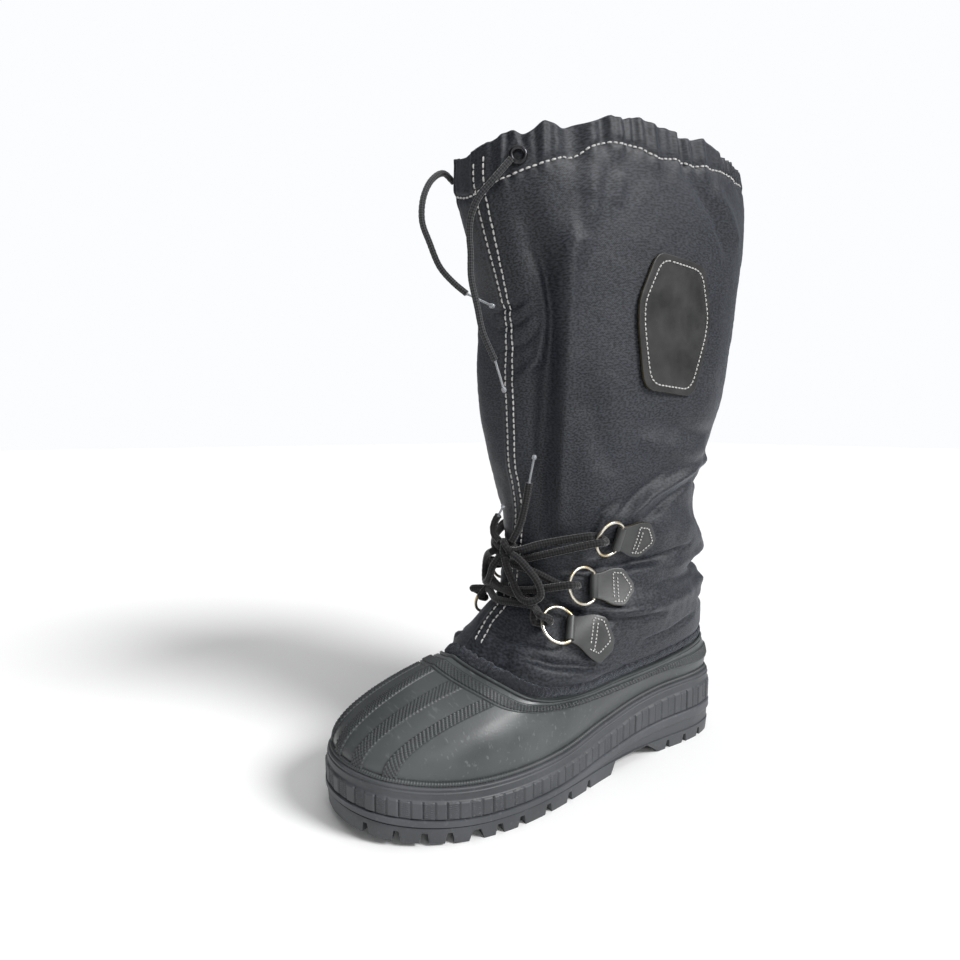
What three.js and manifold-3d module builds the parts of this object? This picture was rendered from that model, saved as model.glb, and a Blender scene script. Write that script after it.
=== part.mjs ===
// Left pac boot: rubber foot with a lugged sole, nylon shaft, D-ring lacing and a gathered drawcord collar.
// Millimetres, +Z up. The toe points to -Y and the outer (lateral) side to +X.
// The origin is on the floor under the middle of the heel.
import * as THREE from 'three';
import { mergeVertices } from 'three/addons/utils/BufferGeometryUtils.js';
import Module from 'manifold-3d';

const wasm = await Module();
wasm.setup();

// Driving dimensions of the sole
const LENGTH = 320;
const WIDTH = 120;
const HEEL_BACK = 42;
const LUG_DEPTH = 9;
const TOE_SPRING = 8;
const SPRING_START = 0.76;
const SOLE_SIDE = 54;
const ARCH_FRONT = 95;
const ARCH_BACK = 54;
const BREAST_SLANT = 17;
const NOTCH_WIDTH = 5;
const NOTCH_REACH = 20;
const NOTCH_RISE = 6.5;
const RIB_COUNT = 42;
const RIB_RELIEF = 1.2;
const SIDEWALL = 3.4;
const SIDEWALL_INSET = 1;
const SOLE_ROUND = 2.5;
const LUG_ROUND = 0.8;
const BAND_ROUND = 1.2;
const BAND_EDGE = 1;
const RIB_INSET = 1.4;
const STEP_INSET = 0.6;
const STEP_LEDGE = 0.4;
const LUG_ROOT = 0.5;
const CUT_BELOW = -1;
const ARCH_SLANT = -5;
const NOTCH_OVERRUN = 1.3;

// Driving dimensions of the rubber shell
const SHELL_WALL = 2.8;
const SHELL_TOP_BACK = 41;
const SHELL_TOP_LENGTH = 228;
const SHELL_TOP_WIDTH = 104;
const SHELL_TOP_HEIGHT = 66;
const TOE_BOX = 47;
const SHELL_BULGE = 4;
const LEDGE_LEVEL = 0.15;
const TOP_BAND = 1;
const STRIPE_RELIEF = 0.7;
const STRIPE_SPAN = 0.05;

// Driving dimensions of the shaft
const SHAFT_WALL = 1.8;
const SHAFT_HEIGHT = 414;
const RIM_RISE = 38;
const SHAFT_LENGTH = 258;
const SHAFT_WIDTH = 110;
const SHAFT_BACK = 76;
const SHAFT_FULLNESS = 0.8;
const TUCK_LEVEL = 0.82;
const FREE_LEVEL = 0.03;
const CURVE_ROOM = 0.7;
const FOLD_DEPTH = 6;
const PUCKERS = 12;
const PUCKER_DEPTH = 2.2;
const PLACKET_RELIEF = 0.9;
const PLACKET_SPAN = 0.16;
const HEM_RELIEF = 0.9;
const HEM_SHARE = 0.9;
const BINDING_THICKNESS = 2;

// Insole
const INSOLE_THICKNESS = 5;

// Lace hardware
const TAB_LENGTH = 31;
const TAB_WIDTH = 26;
const TAB_THICKNESS = 2.6;
const TAB_ROLL = 2.9;
const RING_RADIUS = 12.2;
const RING_BAR = 18;
const RING_WIRE = 2.2;
const RING_TILT = 0.26;
const LACE = 5;
const LACE_SLACK = 1.7;
const DRAWCORD = 4;
const AGLET = 3;
const EYELET_RADIUS = 6;
const EYELET_HOLE = 2.6;
const EYELET_THICKNESS = 1.4;

// Badge patch, left bare
const BADGE_HEIGHT = 92;
const BADGE_WIDTH = 72;
const BADGE_THICKNESS = 2;

// Lace and drawcord, in the boot's own frame
const KNOT = { x: 3, y: -152, z: 160 };
const KNOT_SIZE = { x: 9, y: 6, z: 6 };
const BAR_HEIGHT = 121;
const CROSSING_HEIGHTS = [129, 149];
const SEAM_CORNER = 0.055;
const CORNER_LIFT = 3.2;
const EYELET_PLACE = { y: -167, z: 408 };
const BOW_OUTER = [
  [5.2, -157, 154.5], [10, -157.5, 147], [14, -156.5, 140], [17, -155.5, 134], [23, -155.2, 129.5],
  [30, -153, 129],
  [34, -148.5, 133], [33, -149.5, 141], [27, -152.5, 149], [19, -155.5, 156], [13.5, -156.5, 158],
];
const BOW_INNER = [
  [-0.4, -156.4, 155.2], [-5, -159.5, 147], [-9, -158.5, 141], [-14, -157.5, 135], [-21, -154.5, 133],
  [-26, -151.5, 138],
  [-25, -151.5, 146], [-18, -154.5, 153], [-8, -157.5, 157],
];
const LACE_END_OUTER = [
  [7, -152, 165.4], [10, -150, 172], [12, -148.5, 178], [15.5, -147, 192], [18, -146, 206],
];
const LACE_TIP_OUTER = [22, -144.5, 225];
const LACE_END_INNER = [
  [-4.6, -153.8, 164.2], [-11.5, -153.5, 167.5], [-13.5, -153, 172.5], [-12, -152.5, 177.5],
  [-9, -152, 181.5],
];
const LACE_TIP_INNER = [-3.5, -151.5, 189];
const DRAWCORD_OUTER = [
  [33.6, -173.4, 404.6], [28, -182, 393], [20, -188, 383], [13, -189, 373], [9, -187.5, 363],
  [8, -186, 353.5],
  [7, -185, 338], [8, -181, 320], [8, -177, 305], [8, -170, 292], [8, -167, 287],
];
const DRAWCORD_TIP_OUTER = [8, -159, 266];
const DRAWCORD_INNER = [
  [-33, -173.3, 410.6], [-31, -182, 414], [-27, -194, 406], [-24, -202, 392], [-21, -204.5, 376],
  [-18, -201, 363],
  [-15, -195, 347.5], [-11, -187.5, 338], [-6, -180, 330.5],
];
const DRAWCORD_TIP_INNER = [6, -166, 321.5];

// Gap kept between pieces that touch
const GAP = 0.3;
const CLOTH_SEAT = 1.32;
const EYELET_SEAT = 0.9;
const SHELL_INSET = SIDEWALL_INSET + SIDEWALL + GAP + CURVE_ROOM;

// Points round a loop, and the width of a step's face as a share of a turn
const TURN = 36;
const STEP_TURN = 0.002;

// Where the search for a place on the cloth starts, as a share of a turn off the seam
const FIRST_GUESS = 0.17;

// Outline of the sole: shares of LENGTH from the heel, and shares of WIDTH to each side
const SOLE_OUTLINE = [
  { at: 0, lateral: 0, medial: 0 },
  { at: 0.045, lateral: 0.287, medial: 0.287 },
  { at: 0.1, lateral: 0.352, medial: 0.348 },
  { at: 0.16, lateral: 0.37, medial: 0.362 },
  { at: 0.25, lateral: 0.368, medial: 0.342 },
  { at: 0.35, lateral: 0.378, medial: 0.318 },
  { at: 0.45, lateral: 0.415, medial: 0.328 },
  { at: 0.55, lateral: 0.466, medial: 0.378 },
  { at: 0.64, lateral: 0.5, medial: 0.443 },
  { at: 0.72, lateral: 0.505, medial: 0.485 },
  { at: 0.8, lateral: 0.474, medial: 0.494 },
  { at: 0.87, lateral: 0.41, medial: 0.463 },
  { at: 0.93, lateral: 0.315, medial: 0.41 },
  { at: 0.97, lateral: 0.205, medial: 0.325 },
  { at: 1, lateral: -0.055, medial: 0.055 },
];

// Lines along the sole's side: shares of SOLE_SIDE above the floor, before the toe spring
const SIDE_LINES = [
  { at: 0, bandLow: 0.36, bandTop: 0.48, ribTop: 0.79, step: 0.88, top: 0.94 },
  { at: 0.25, bandLow: 0.34, bandTop: 0.45, ribTop: 0.74, step: 0.84, top: 0.9 },
  { at: 0.45, bandLow: 0.25, bandTop: 0.34, ribTop: 0.57, step: 0.68, top: 0.74 },
  { at: 0.6, bandLow: 0.2, bandTop: 0.27, ribTop: 0.48, step: 0.57, top: 0.63 },
  { at: 1, bandLow: 0.2, bandTop: 0.27, ribTop: 0.48, step: 0.57, top: 0.63 },
];

// Notches in the sole's edge: shares of LENGTH from the heel, and shares of NOTCH_WIDTH
const EDGE_NOTCHES = [
  { at: 0.11, width: 0.8 }, { at: 0.168, width: 0.8 }, { at: 0.226, width: 0.8 },
  { at: 0.505, width: 0.8 }, { at: 0.568, width: 0.9 }, { at: 0.631, width: 1 }, { at: 0.7, width: 1 },
  { at: 0.75, width: 1 }, { at: 0.797, width: 1.6 }, { at: 0.847, width: 1 }, { at: 0.89, width: 1 },
  { at: 0.934, width: 0.9 }, { at: 0.975, width: 0.8 },
];

// Grooves across the middle of the tread: shares of LENGTH from the heel
const CROSS_GROOVES = [0.08, 0.17, 0.53, 0.62, 0.71, 0.8, 0.89];

// Topline of the shell: shares of SHELL_TOP_LENGTH from the heel, of SHELL_TOP_WIDTH to each side,
// and of SHELL_TOP_HEIGHT above the floor
const TOPLINE = [
  { at: 0, lateral: 0, medial: 0, height: 1.13 },
  { at: 0.06, lateral: 0.235, medial: 0.235, height: 1.13 },
  { at: 0.18, lateral: 0.36, medial: 0.355, height: 1.11 },
  { at: 0.35, lateral: 0.42, medial: 0.405, height: 1.07 },
  { at: 0.55, lateral: 0.45, medial: 0.425, height: 1.04 },
  { at: 0.75, lateral: 0.49, medial: 0.465, height: 1.02 },
  { at: 0.9, lateral: 0.47, medial: 0.47, height: 1.09 },
  { at: 0.97, lateral: 0.31, medial: 0.37, height: 1.22 },
  { at: 1, lateral: -0.1, medial: 0.1, height: 1.32 },
];

// Height of the rim: shares of SHAFT_LENGTH from the back, and of RIM_RISE above SHAFT_HEIGHT
const RIM = [
  { at: 0, rise: 0.8 },
  { at: 0.3, rise: 0.74 },
  { at: 0.6, rise: 0.7 },
  { at: 0.85, rise: 0.36 },
  { at: 1, rise: 0 },
];

// Sections of the shaft: shares of the height from topline to rim; front and back as shares of SHAFT_LENGTH
// in front of SHAFT_BACK; widths as shares of SHAFT_WIDTH
const SHAFT_SECTIONS = [
  { at: 0, front: 1.019, back: 0.136, lateral: 0.47, medial: 0.44 },
  { at: 0.04, front: 0.961, back: 0.14, lateral: 0.47, medial: 0.44 },
  { at: 0.083, front: 0.911, back: 0.151, lateral: 0.46, medial: 0.43 },
  { at: 0.125, front: 0.872, back: 0.163, lateral: 0.45, medial: 0.42 },
  { at: 0.2, front: 0.851, back: 0.194, lateral: 0.44, medial: 0.41 },
  { at: 0.3, front: 0.845, back: 0.21, lateral: 0.44, medial: 0.41 },
  { at: 0.4, front: 0.86, back: 0.17, lateral: 0.46, medial: 0.43 },
  { at: 0.52, front: 0.868, back: 0.093, lateral: 0.48, medial: 0.45 },
  { at: 0.7, front: 0.9, back: 0.043, lateral: 0.5, medial: 0.47 },
  { at: 0.85, front: 0.97, back: 0.004, lateral: 0.51, medial: 0.49 },
  { at: 0.93, front: 1.005, back: 0.004, lateral: 0.51, medial: 0.49 },
  { at: 1, front: 1.008, back: 0.035, lateral: 0.5, medial: 0.48 },
];

// Main folds of the shaft: turn round the boot as a share from the heel by the outer side, share of
// the height, depth as a share of FOLD_DEPTH (positive stands out), half widths as shares, and slant
const FOLDS = [
  { turn: 0.3, at: 0.13, depth: 1, wide: 0.09, high: 0.035, slant: 0.3 },
  { turn: 0.28, at: 0.22, depth: -0.9, wide: 0.12, high: 0.03, slant: 0.35 },
  { turn: 0.2, at: 0.27, depth: 1, wide: 0.1, high: 0.035, slant: 0.3 },
  { turn: 0.12, at: 0.16, depth: -0.8, wide: 0.07, high: 0.03, slant: -0.2 },
  { turn: 0.08, at: 0.22, depth: 0.9, wide: 0.07, high: 0.03, slant: 0.2 },
  { turn: 0.36, at: 0.1, depth: 0.9, wide: 0.06, high: 0.03, slant: -0.3 },
  { turn: 0.42, at: 0.42, depth: -1, wide: 0.035, high: 0.16, slant: 0 },
  { turn: 0.17, at: 0.5, depth: 0.6, wide: 0.05, high: 0.2, slant: 0 },
  { turn: 0.64, at: 0.16, depth: 0.9, wide: 0.08, high: 0.035, slant: -0.3 },
  { turn: 0.74, at: 0.25, depth: -0.9, wide: 0.1, high: 0.03, slant: -0.3 },
  { turn: 0.86, at: 0.2, depth: 0.8, wide: 0.08, high: 0.03, slant: -0.2 },
  { turn: 0.575, at: 0.57, depth: 2.7, wide: 0.055, high: 0.2, slant: 0 },
  { turn: 0.8, at: 0.6, depth: 0.7, wide: 0.06, high: 0.2, slant: 0 },
];

// Lace tabs from the top: bar of the ring as shares of SHAFT_LENGTH in front of SHAFT_BACK and of
// SHAFT_HEIGHT, and how far the tab's tail points down, in radians
const TABS = [
  { forward: 0.65, height: 0.407, tilt: 0.1 },
  { forward: 0.722, height: 0.328, tilt: 0.17 },
  { forward: 0.8, height: 0.263, tilt: 0.52 },
];

// Badge: its middle on the shaft as for the tabs, and its lean to the back in radians
const BADGE_PLACE = { forward: 0.48, height: 0.755, tilt: 0.08 };

// Outline of the badge from its top: shares of BADGE_HEIGHT, and half widths as shares of BADGE_WIDTH / 2
const BADGE_OUTLINE = [
  { at: 0, half: 0.6 },
  { at: 0.04, half: 0.72 },
  { at: 0.35, half: 1 },
  { at: 0.7, half: 0.86 },
  { at: 0.96, half: 0.68 },
  { at: 1, half: 0.52 },
];

// Raised stripes of the vamp, as shares of a turn from the heel by the outer side
const VAMP_STRIPES = [0.425, 0.465, 0.502, 0.54];

const clamp = THREE.MathUtils.clamp;
const lerp = THREE.MathUtils.lerp;
const smoothstep = THREE.MathUtils.smoothstep;

// Share of the foot's length, from the heel, that a turn round the foot has reached
function reach(turn) {
  return (1 - Math.cos(turn * Math.PI * 2)) / 2;
}

function onLateralSide(turn) {
  return turn <= 0.5;
}

// Smooth curve through one column of a table, even in the angle round the foot
function column(rows, name, at, spread = true) {
  const angle = (value) => (spread ? Math.acos(1 - 2 * clamp(value, 0, 1)) : value);
  const last = rows.length - 1;
  let row = 0;
  while (row < last - 1 && rows[row + 1].at < at) row += 1;
  const slope = (index) => {
    const low = Math.max(index - 1, 0);
    const high = Math.min(index + 1, last);
    return (rows[high][name] - rows[low][name]) / (angle(rows[high].at) - angle(rows[low].at));
  };
  const span = angle(rows[row + 1].at) - angle(rows[row].at);
  const t = clamp((angle(at) - angle(rows[row].at)) / span, 0, 1);
  const a = rows[row][name];
  const b = rows[row + 1][name];
  const rise = (slope(row) * (t - 2 * t * t + t ** 3) + slope(row + 1) * (t ** 3 - t * t)) * span;
  return a + (b - a) * (3 * t * t - 2 * t ** 3) + rise;
}

// Closed body from rings of points: stacked rings with caps, or a wall whose last ring meets the first
function bodyFromRings(rings, wall) {
  const count = rings[0].length;
  const points = rings.flat().flatMap((point) => point.toArray());
  const faces = [];
  const levels = wall ? rings.length : rings.length - 1;
  for (let level = 0; level < levels; level += 1) {
    const low = level * count;
    const high = ((level + 1) % rings.length) * count;
    for (let step = 0; step < count; step += 1) {
      const next = (step + 1) % count;
      faces.push(low + step, high + next, low + next);
      faces.push(low + step, high + step, high + next);
    }
  }
  if (!wall) {
    addCap(faces, 0, count, false);
    addCap(faces, (rings.length - 1) * count, count, true);
  }
  const geometry = new THREE.BufferGeometry();
  geometry.setAttribute('position', new THREE.Float32BufferAttribute(points, 3));
  geometry.setIndex(faces);
  geometry.computeVertexNormals();
  return geometry;
}

// Cap made of strips across the foot, from the outer side's points to the inner side's
function addCap(faces, first, count, up) {
  for (let step = 0; step < count / 2; step += 1) {
    const near = first + step;
    const ahead = near + 1;
    const acrossNear = first + ((count - step) % count);
    const acrossAhead = first + count - step - 1;
    const corners = [near, acrossNear, acrossAhead, near, acrossAhead, ahead];
    for (const part of [corners.slice(0, 3), corners.slice(3)]) {
      if (new Set(part).size === 3) faces.push(...(up ? part : part.reverse()));
    }
  }
}

function evenTurns(count) {
  return Array.from({ length: count }, (_, step) => step / count);
}

// Turns whose points are evenly spaced along the sole's edge
function turnsByLength(count) {
  const fine = evenTurns(720);
  const lengths = [0];
  fine.forEach((turn, step) => {
    const next = soleEdge((step + 1) / fine.length);
    lengths.push(lengths[step] + next.distanceTo(soleEdge(turn)));
  });
  const whole = lengths[fine.length];
  let step = 0;
  return evenTurns(count).map((share) => {
    while (lengths[step + 1] < share * whole) step += 1;
    const part = (share * whole - lengths[step]) / (lengths[step + 1] - lengths[step]);
    return (step + part) / fine.length;
  });
}

// Point of the sole's outline, seen from above
function soleEdge(turn) {
  const at = reach(turn);
  const side = onLateralSide(turn) ? 1 : -1;
  const half = column(SOLE_OUTLINE, side > 0 ? 'lateral' : 'medial', at);
  return new THREE.Vector2(side * half * WIDTH, HEEL_BACK - at * LENGTH);
}

// Same point moved inwards, square to the outline
function soleInset(turn, inset) {
  const step = 0.004;
  const along = soleEdge((turn + step) % 1).sub(soleEdge((turn + 1 - step) % 1)).normalize();
  return soleEdge(turn).add(new THREE.Vector2(along.y, -along.x).multiplyScalar(inset));
}

function spring(at) {
  return TOE_SPRING * clamp((at - SPRING_START) / (1 - SPRING_START), 0, 1) ** 2;
}

function sideLine(name, at) {
  return column(SIDE_LINES, name, at, false) * SOLE_SIDE + spring(at);
}

function soleRing(turns, inset, height) {
  return turns.map((turn) => {
    const edge = soleInset(turn, typeof inset === 'function' ? inset(turn) : inset);
    return new THREE.Vector3(edge.x, edge.y, height(reach(turn)));
  });
}

// Manifold solid of a geometry, and back
function solidOf(geometry) {
  const bare = geometry.clone();
  bare.deleteAttribute('normal');
  bare.deleteAttribute('uv');
  const merged = mergeVertices(bare, 1e-4);
  const mesh = new wasm.Mesh({
    numProp: 3,
    vertProperties: new Float32Array(merged.attributes.position.array),
    triVerts: new Uint32Array(merged.index.array),
  });
  return new wasm.Manifold(mesh);
}

function geometryOf(solid) {
  const mesh = solid.getMesh();
  const geometry = new THREE.BufferGeometry();
  geometry.setAttribute('position', new THREE.Float32BufferAttribute(mesh.vertProperties, 3));
  geometry.setIndex(Array.from(mesh.triVerts));
  geometry.computeVertexNormals();
  return geometry;
}

function block(size, place, turn = 0) {
  const geometry = new THREE.BoxGeometry(size.x, size.y, size.z);
  geometry.rotateZ(turn);
  geometry.translate(place.x, place.y, place.z);
  return solidOf(geometry);
}

// Outsole: a plate with its light side band, and a tread cut into lugs, arch and heel block
function outsole() {
  const turns = evenTurns(TURN);
  const plate = solidOf(bodyFromRings([
    soleRing(turns, SOLE_ROUND, (at) => LUG_DEPTH + spring(at)),
    soleRing(turns, BAND_ROUND, (at) => sideLine('bandLow', at) - BAND_EDGE),
    soleRing(turns, 0, (at) => sideLine('bandLow', at)),
    soleRing(turns, 0, (at) => sideLine('bandTop', at) - BAND_EDGE),
    soleRing(turns, BAND_EDGE, (at) => sideLine('bandTop', at)),
  ], false));
  let tread = solidOf(bodyFromRings([
    soleRing(turns, SOLE_ROUND, spring),
    soleRing(turns, LUG_ROUND, (at) => LUG_DEPTH + LUG_ROOT + spring(at)),
  ], false));
  const arch = new THREE.Shape([
    new THREE.Vector2(-ARCH_FRONT - ARCH_SLANT, LUG_DEPTH),
    new THREE.Vector2(-ARCH_FRONT, CUT_BELOW),
    new THREE.Vector2(-ARCH_BACK + BREAST_SLANT, CUT_BELOW),
    new THREE.Vector2(-ARCH_BACK, LUG_DEPTH),
  ]);
  const archGeometry = new THREE.ExtrudeGeometry(arch, { depth: WIDTH * 2, bevelEnabled: false });
  archGeometry.applyMatrix4(new THREE.Matrix4().makeBasis(
    new THREE.Vector3(0, 1, 0), new THREE.Vector3(0, 0, 1), new THREE.Vector3(1, 0, 0)));
  archGeometry.translate(-WIDTH, 0, 0);
  tread = tread.subtract(solidOf(archGeometry));
  for (const notch of EDGE_NOTCHES) {
    for (const side of [1, -1]) {
      tread = tread.subtract(edgeNotch(notch, side));
    }
  }
  for (const at of CROSS_GROOVES) {
    const outer = column(SOLE_OUTLINE, 'lateral', at) * WIDTH - NOTCH_REACH;
    const inner = column(SOLE_OUTLINE, 'medial', at) * WIDTH - NOTCH_REACH;
    const top = LUG_DEPTH + spring(at);
    const place = new THREE.Vector3((outer - inner) / 2, HEEL_BACK - at * LENGTH, (top + CUT_BELOW) / 2);
    tread = tread.subtract(block(new THREE.Vector3(outer + inner, NOTCH_WIDTH, top - CUT_BELOW), place));
  }
  return geometryOf(plate.add(tread));
}

// One notch in the tread's edge, square to the outline
function edgeNotch(notch, side) {
  const half = Math.acos(1 - 2 * notch.at) / (Math.PI * 2);
  const turn = side > 0 ? half : 1 - half;
  const edge = soleEdge(turn);
  const inner = soleInset(turn, NOTCH_REACH);
  const middle = edge.clone().add(inner).multiplyScalar(0.5);
  const top = NOTCH_RISE + spring(notch.at);
  const size = new THREE.Vector3(NOTCH_REACH * NOTCH_OVERRUN, NOTCH_WIDTH * notch.width, top - CUT_BELOW);
  const angle = Math.atan2(inner.y - edge.y, inner.x - edge.x);
  return block(size, new THREE.Vector3(middle.x, middle.y, (top + CUT_BELOW) / 2), angle);
}

// Ribbed sidewall round the shell, above the outsole
function sidewall() {
  const turns = turnsByLength(RIB_COUNT * 2);
  const inner = SIDEWALL_INSET + SIDEWALL;
  const ribbed = (turn) => {
    const index = turns.indexOf(turn);
    return RIB_INSET - (index % 2 === 0 ? RIB_RELIEF : 0);
  };
  const low = (at) => sideLine('bandTop', at) + GAP;
  return bodyFromRings([
    soleRing(turns, RIB_INSET, low),
    soleRing(turns, ribbed, (at) => low(at) + BAND_EDGE),
    soleRing(turns, ribbed, (at) => sideLine('ribTop', at)),
    soleRing(turns, RIB_INSET, (at) => sideLine('ribTop', at) + BAND_EDGE),
    soleRing(turns, RIB_INSET + STEP_INSET, (at) => sideLine('step', at)),
    soleRing(turns, RIB_INSET - STEP_LEDGE, (at) => sideLine('step', at) + STEP_LEDGE),
    soleRing(turns, RIB_INSET + STEP_LEDGE / 2, (at) => sideLine('top', at)),
    soleRing(turns, inner, (at) => sideLine('top', at)),
    soleRing(turns, inner, low),
  ], true);
}

// Topline of the shell, as a point in space
function toplinePoint(turn) {
  const at = reach(turn);
  const side = onLateralSide(turn) ? 1 : -1;
  const half = column(TOPLINE, side > 0 ? 'lateral' : 'medial', at);
  const height = column(TOPLINE, 'height', at);
  return new THREE.Vector3(
    side * half * SHELL_TOP_WIDTH,
    SHELL_TOP_BACK - at * SHELL_TOP_LENGTH,
    height * SHELL_TOP_HEIGHT,
  );
}

// Point of the shell: straight up inside the sidewall, then over the foot to the topline
function shellPoint(turn, level) {
  const at = reach(turn);
  const edge = soleInset(turn, SHELL_INSET);
  const low = sideLine('bandTop', at) + GAP;
  const ledge = new THREE.Vector3(edge.x, edge.y, sideLine('top', at) + GAP);
  if (level <= LEDGE_LEVEL) {
    return new THREE.Vector3(edge.x, edge.y, lerp(low, ledge.z, level / LEDGE_LEVEL));
  }
  const head = toplinePoint(turn);
  const toe = smoothstep(at, 0.5, 1);
  const rise = head.z - ledge.z;
  const outer = soleInset(turn, SHELL_INSET - SHELL_BULGE);
  const shoulderHeight = ledge.z + lerp(rise * 0.4, TOE_BOX - ledge.z + 12, toe);
  const shoulder = new THREE.Vector3(outer.x, outer.y, shoulderHeight);
  const brow = head.clone().lerp(shoulder, lerp(0.35, 0.45, toe));
  brow.z = head.z - lerp(rise * 0.3, 6, toe);
  const curve = new THREE.CubicBezierCurve3(ledge, shoulder, brow, head);
  return curve.getPoint(clamp((level - LEDGE_LEVEL) / (1 - LEDGE_LEVEL), 0, 1));
}

// Grid of a surface with its outward normals: rows go up, columns go round
function surfaceGrid(place, turns, levels) {
  const small = 0.002;
  return levels.map((level) => turns.map((turn) => {
    const point = place(turn, level);
    const round = place((turn + small) % 1, level).sub(place((turn + 1 - small) % 1, level));
    const up = place(turn, level + small).sub(place(turn, level - small));
    const normal = up.cross(round).normalize();
    return { point, normal, turn, level };
  }));
}

function offsetRing(row, amount) {
  return row.map((cell) => {
    const distance = typeof amount === 'function' ? amount(cell) : amount;
    return cell.point.clone().addScaledVector(cell.normal, distance);
  });
}

// Wall with its outer face on the grid, raised by relief, and its inner face one wall further in
function wallFromGrid(grid, relief, wall, innerEvery = 1) {
  const outer = grid.map((row) => offsetRing(row, relief));
  const kept = grid.filter((_, index) => index % innerEvery === 0 || index === grid.length - 1);
  const inner = kept.map((row) => offsetRing(row, -wall)).reverse();
  return bodyFromRings([...outer, ...inner], true);
}

function mod(value) {
  return ((value % 1) + 1) % 1;
}

// Even turns, with two close pairs of turns at the edges of each raised strip
function turnsWithEdges(strips) {
  const edges = strips.flatMap(({ middle, span }) => {
    const half = span / 2 / Math.PI;
    return [middle - half - STEP_TURN, middle - half, middle + half, middle + half + STEP_TURN];
  });
  const free = evenTurns(TURN).filter((turn) => edges.every((edge) => Math.abs(edge - turn) > STEP_TURN * 3));
  return [...free, ...edges].sort((a, b) => a - b);
}

// Rubber shell with its topline band and the raised stripes of the vamp
function shell() {
  const turns = turnsWithEdges(VAMP_STRIPES.map((middle) => ({ middle, span: STRIPE_SPAN })));
  const levels = [0, LEDGE_LEVEL, 0.24, 0.35, 0.47, 0.6, 0.73, 0.86, 0.87, 0.94, 0.95, 1];
  const grid = surfaceGrid(shellPoint, turns, levels);
  const inStripe = (turn) => VAMP_STRIPES.some((middle) => (
    Math.abs(turn - middle) < STRIPE_SPAN / 2 / Math.PI + STEP_TURN / 2));
  const relief = (cell) => {
    if (cell.level > 0.865 && cell.level < 0.945) return TOP_BAND;
    if (cell.level > LEDGE_LEVEL && cell.level < 0.865 && inStripe(cell.turn)) return STRIPE_RELIEF;
    return 0;
  };
  return wallFromGrid(grid, relief, SHELL_WALL, 3);
}

// Point of the shaft's cloth before its folds; level 0 is the topline and 1 the rim
function shaftBase(turn, level) {
  const at = reach(turn);
  const side = onLateralSide(turn) ? 1 : -1;
  const row = clamp(level, 0, 1);
  const front = column(SHAFT_SECTIONS, 'front', row, false);
  const back = column(SHAFT_SECTIONS, 'back', row, false);
  const half = column(SHAFT_SECTIONS, side > 0 ? 'lateral' : 'medial', row, false) * SHAFT_WIDTH;
  const oval = new THREE.Vector2(
    side * half * Math.abs(Math.sin(turn * Math.PI * 2)) ** SHAFT_FULLNESS,
    SHAFT_BACK - lerp(back, front, at) * SHAFT_LENGTH,
  );
  const foot = toplinePoint(turn);
  const blend = smoothstep(row, 0, 0.16);
  const rim = SHAFT_HEIGHT + RIM_RISE * column(RIM, 'rise', at);
  return new THREE.Vector3(
    lerp(foot.x, oval.x, blend),
    lerp(foot.y, oval.y, smoothstep(row, 0, 0.03)),
    lerp(foot.z, rim, level),
  );
}

// How far the cloth stands out of its smooth form, by folds and by the gathers under the rim
function clothRelief(turn, level) {
  let out = 0;
  for (const fold of FOLDS) {
    const across = mod(turn - fold.turn + 0.5) - 0.5;
    const up = (level - fold.at) - across * fold.slant;
    out += fold.depth * FOLD_DEPTH * Math.exp(-((across / fold.wide) ** 2) - ((up / fold.high) ** 2));
  }
  const gather = smoothstep(level, 0.86, 1);
  out += gather * PUCKER_DEPTH * Math.cos(turn * PUCKERS * Math.PI * 2) * 0.6;
  return out * smoothstep(level, 0.03, 0.1);
}

function shaftPoint(turn, level) {
  const wrapped = mod(turn);
  const point = shaftBase(wrapped, level);
  const middle = new THREE.Vector3(0, SHAFT_BACK - SHAFT_LENGTH / 2, point.z);
  const outward = point.clone().sub(middle).normalize();
  point.addScaledVector(outward, clothRelief(wrapped, level));
  const gather = smoothstep(level, 0.9, 1);
  point.z += gather * PUCKER_DEPTH * Math.sin(wrapped * PUCKERS * Math.PI * 2);
  return point;
}

// Rows of the shaft that lie inside the shell, along its inner face
function tuckRows(turns) {
  const seat = SHELL_WALL + GAP + CURVE_ROOM;
  const grid = surfaceGrid(shellPoint, turns, [TUCK_LEVEL, (TUCK_LEVEL + 1) / 2, 1]);
  return grid.map((row) => row.map((cell) => (
    { ...cell, level: 0, point: cell.point.clone().addScaledVector(cell.normal, -seat) })));
}

// Nylon shaft: tucked into the shell, with front placket and hem casing as steps in its wall
function shaft() {
  const turns = turnsWithEdges([{ middle: 0.5, span: PLACKET_SPAN }]);
  const levels = [
    FREE_LEVEL, 0.055, 0.085, 0.115, 0.145, 0.18, 0.21, 0.245, 0.29, 0.36, 0.45, 0.56, 0.68, 0.8,
    HEM_SHARE - 0.004, HEM_SHARE, 0.95, 1,
  ];
  const relief = (cell) => {
    if (cell.level <= FREE_LEVEL) return 0;
    const front = Math.abs(cell.turn - 0.5) < PLACKET_SPAN / 2 / Math.PI + 0.001;
    return (front ? PLACKET_RELIEF : 0) + (cell.level >= HEM_SHARE ? HEM_RELIEF : 0);
  };
  const grid = [...tuckRows(turns), ...surfaceGrid(shaftPoint, turns, levels)];
  return wallFromGrid(grid, relief, SHAFT_WALL, 3);
}

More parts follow.
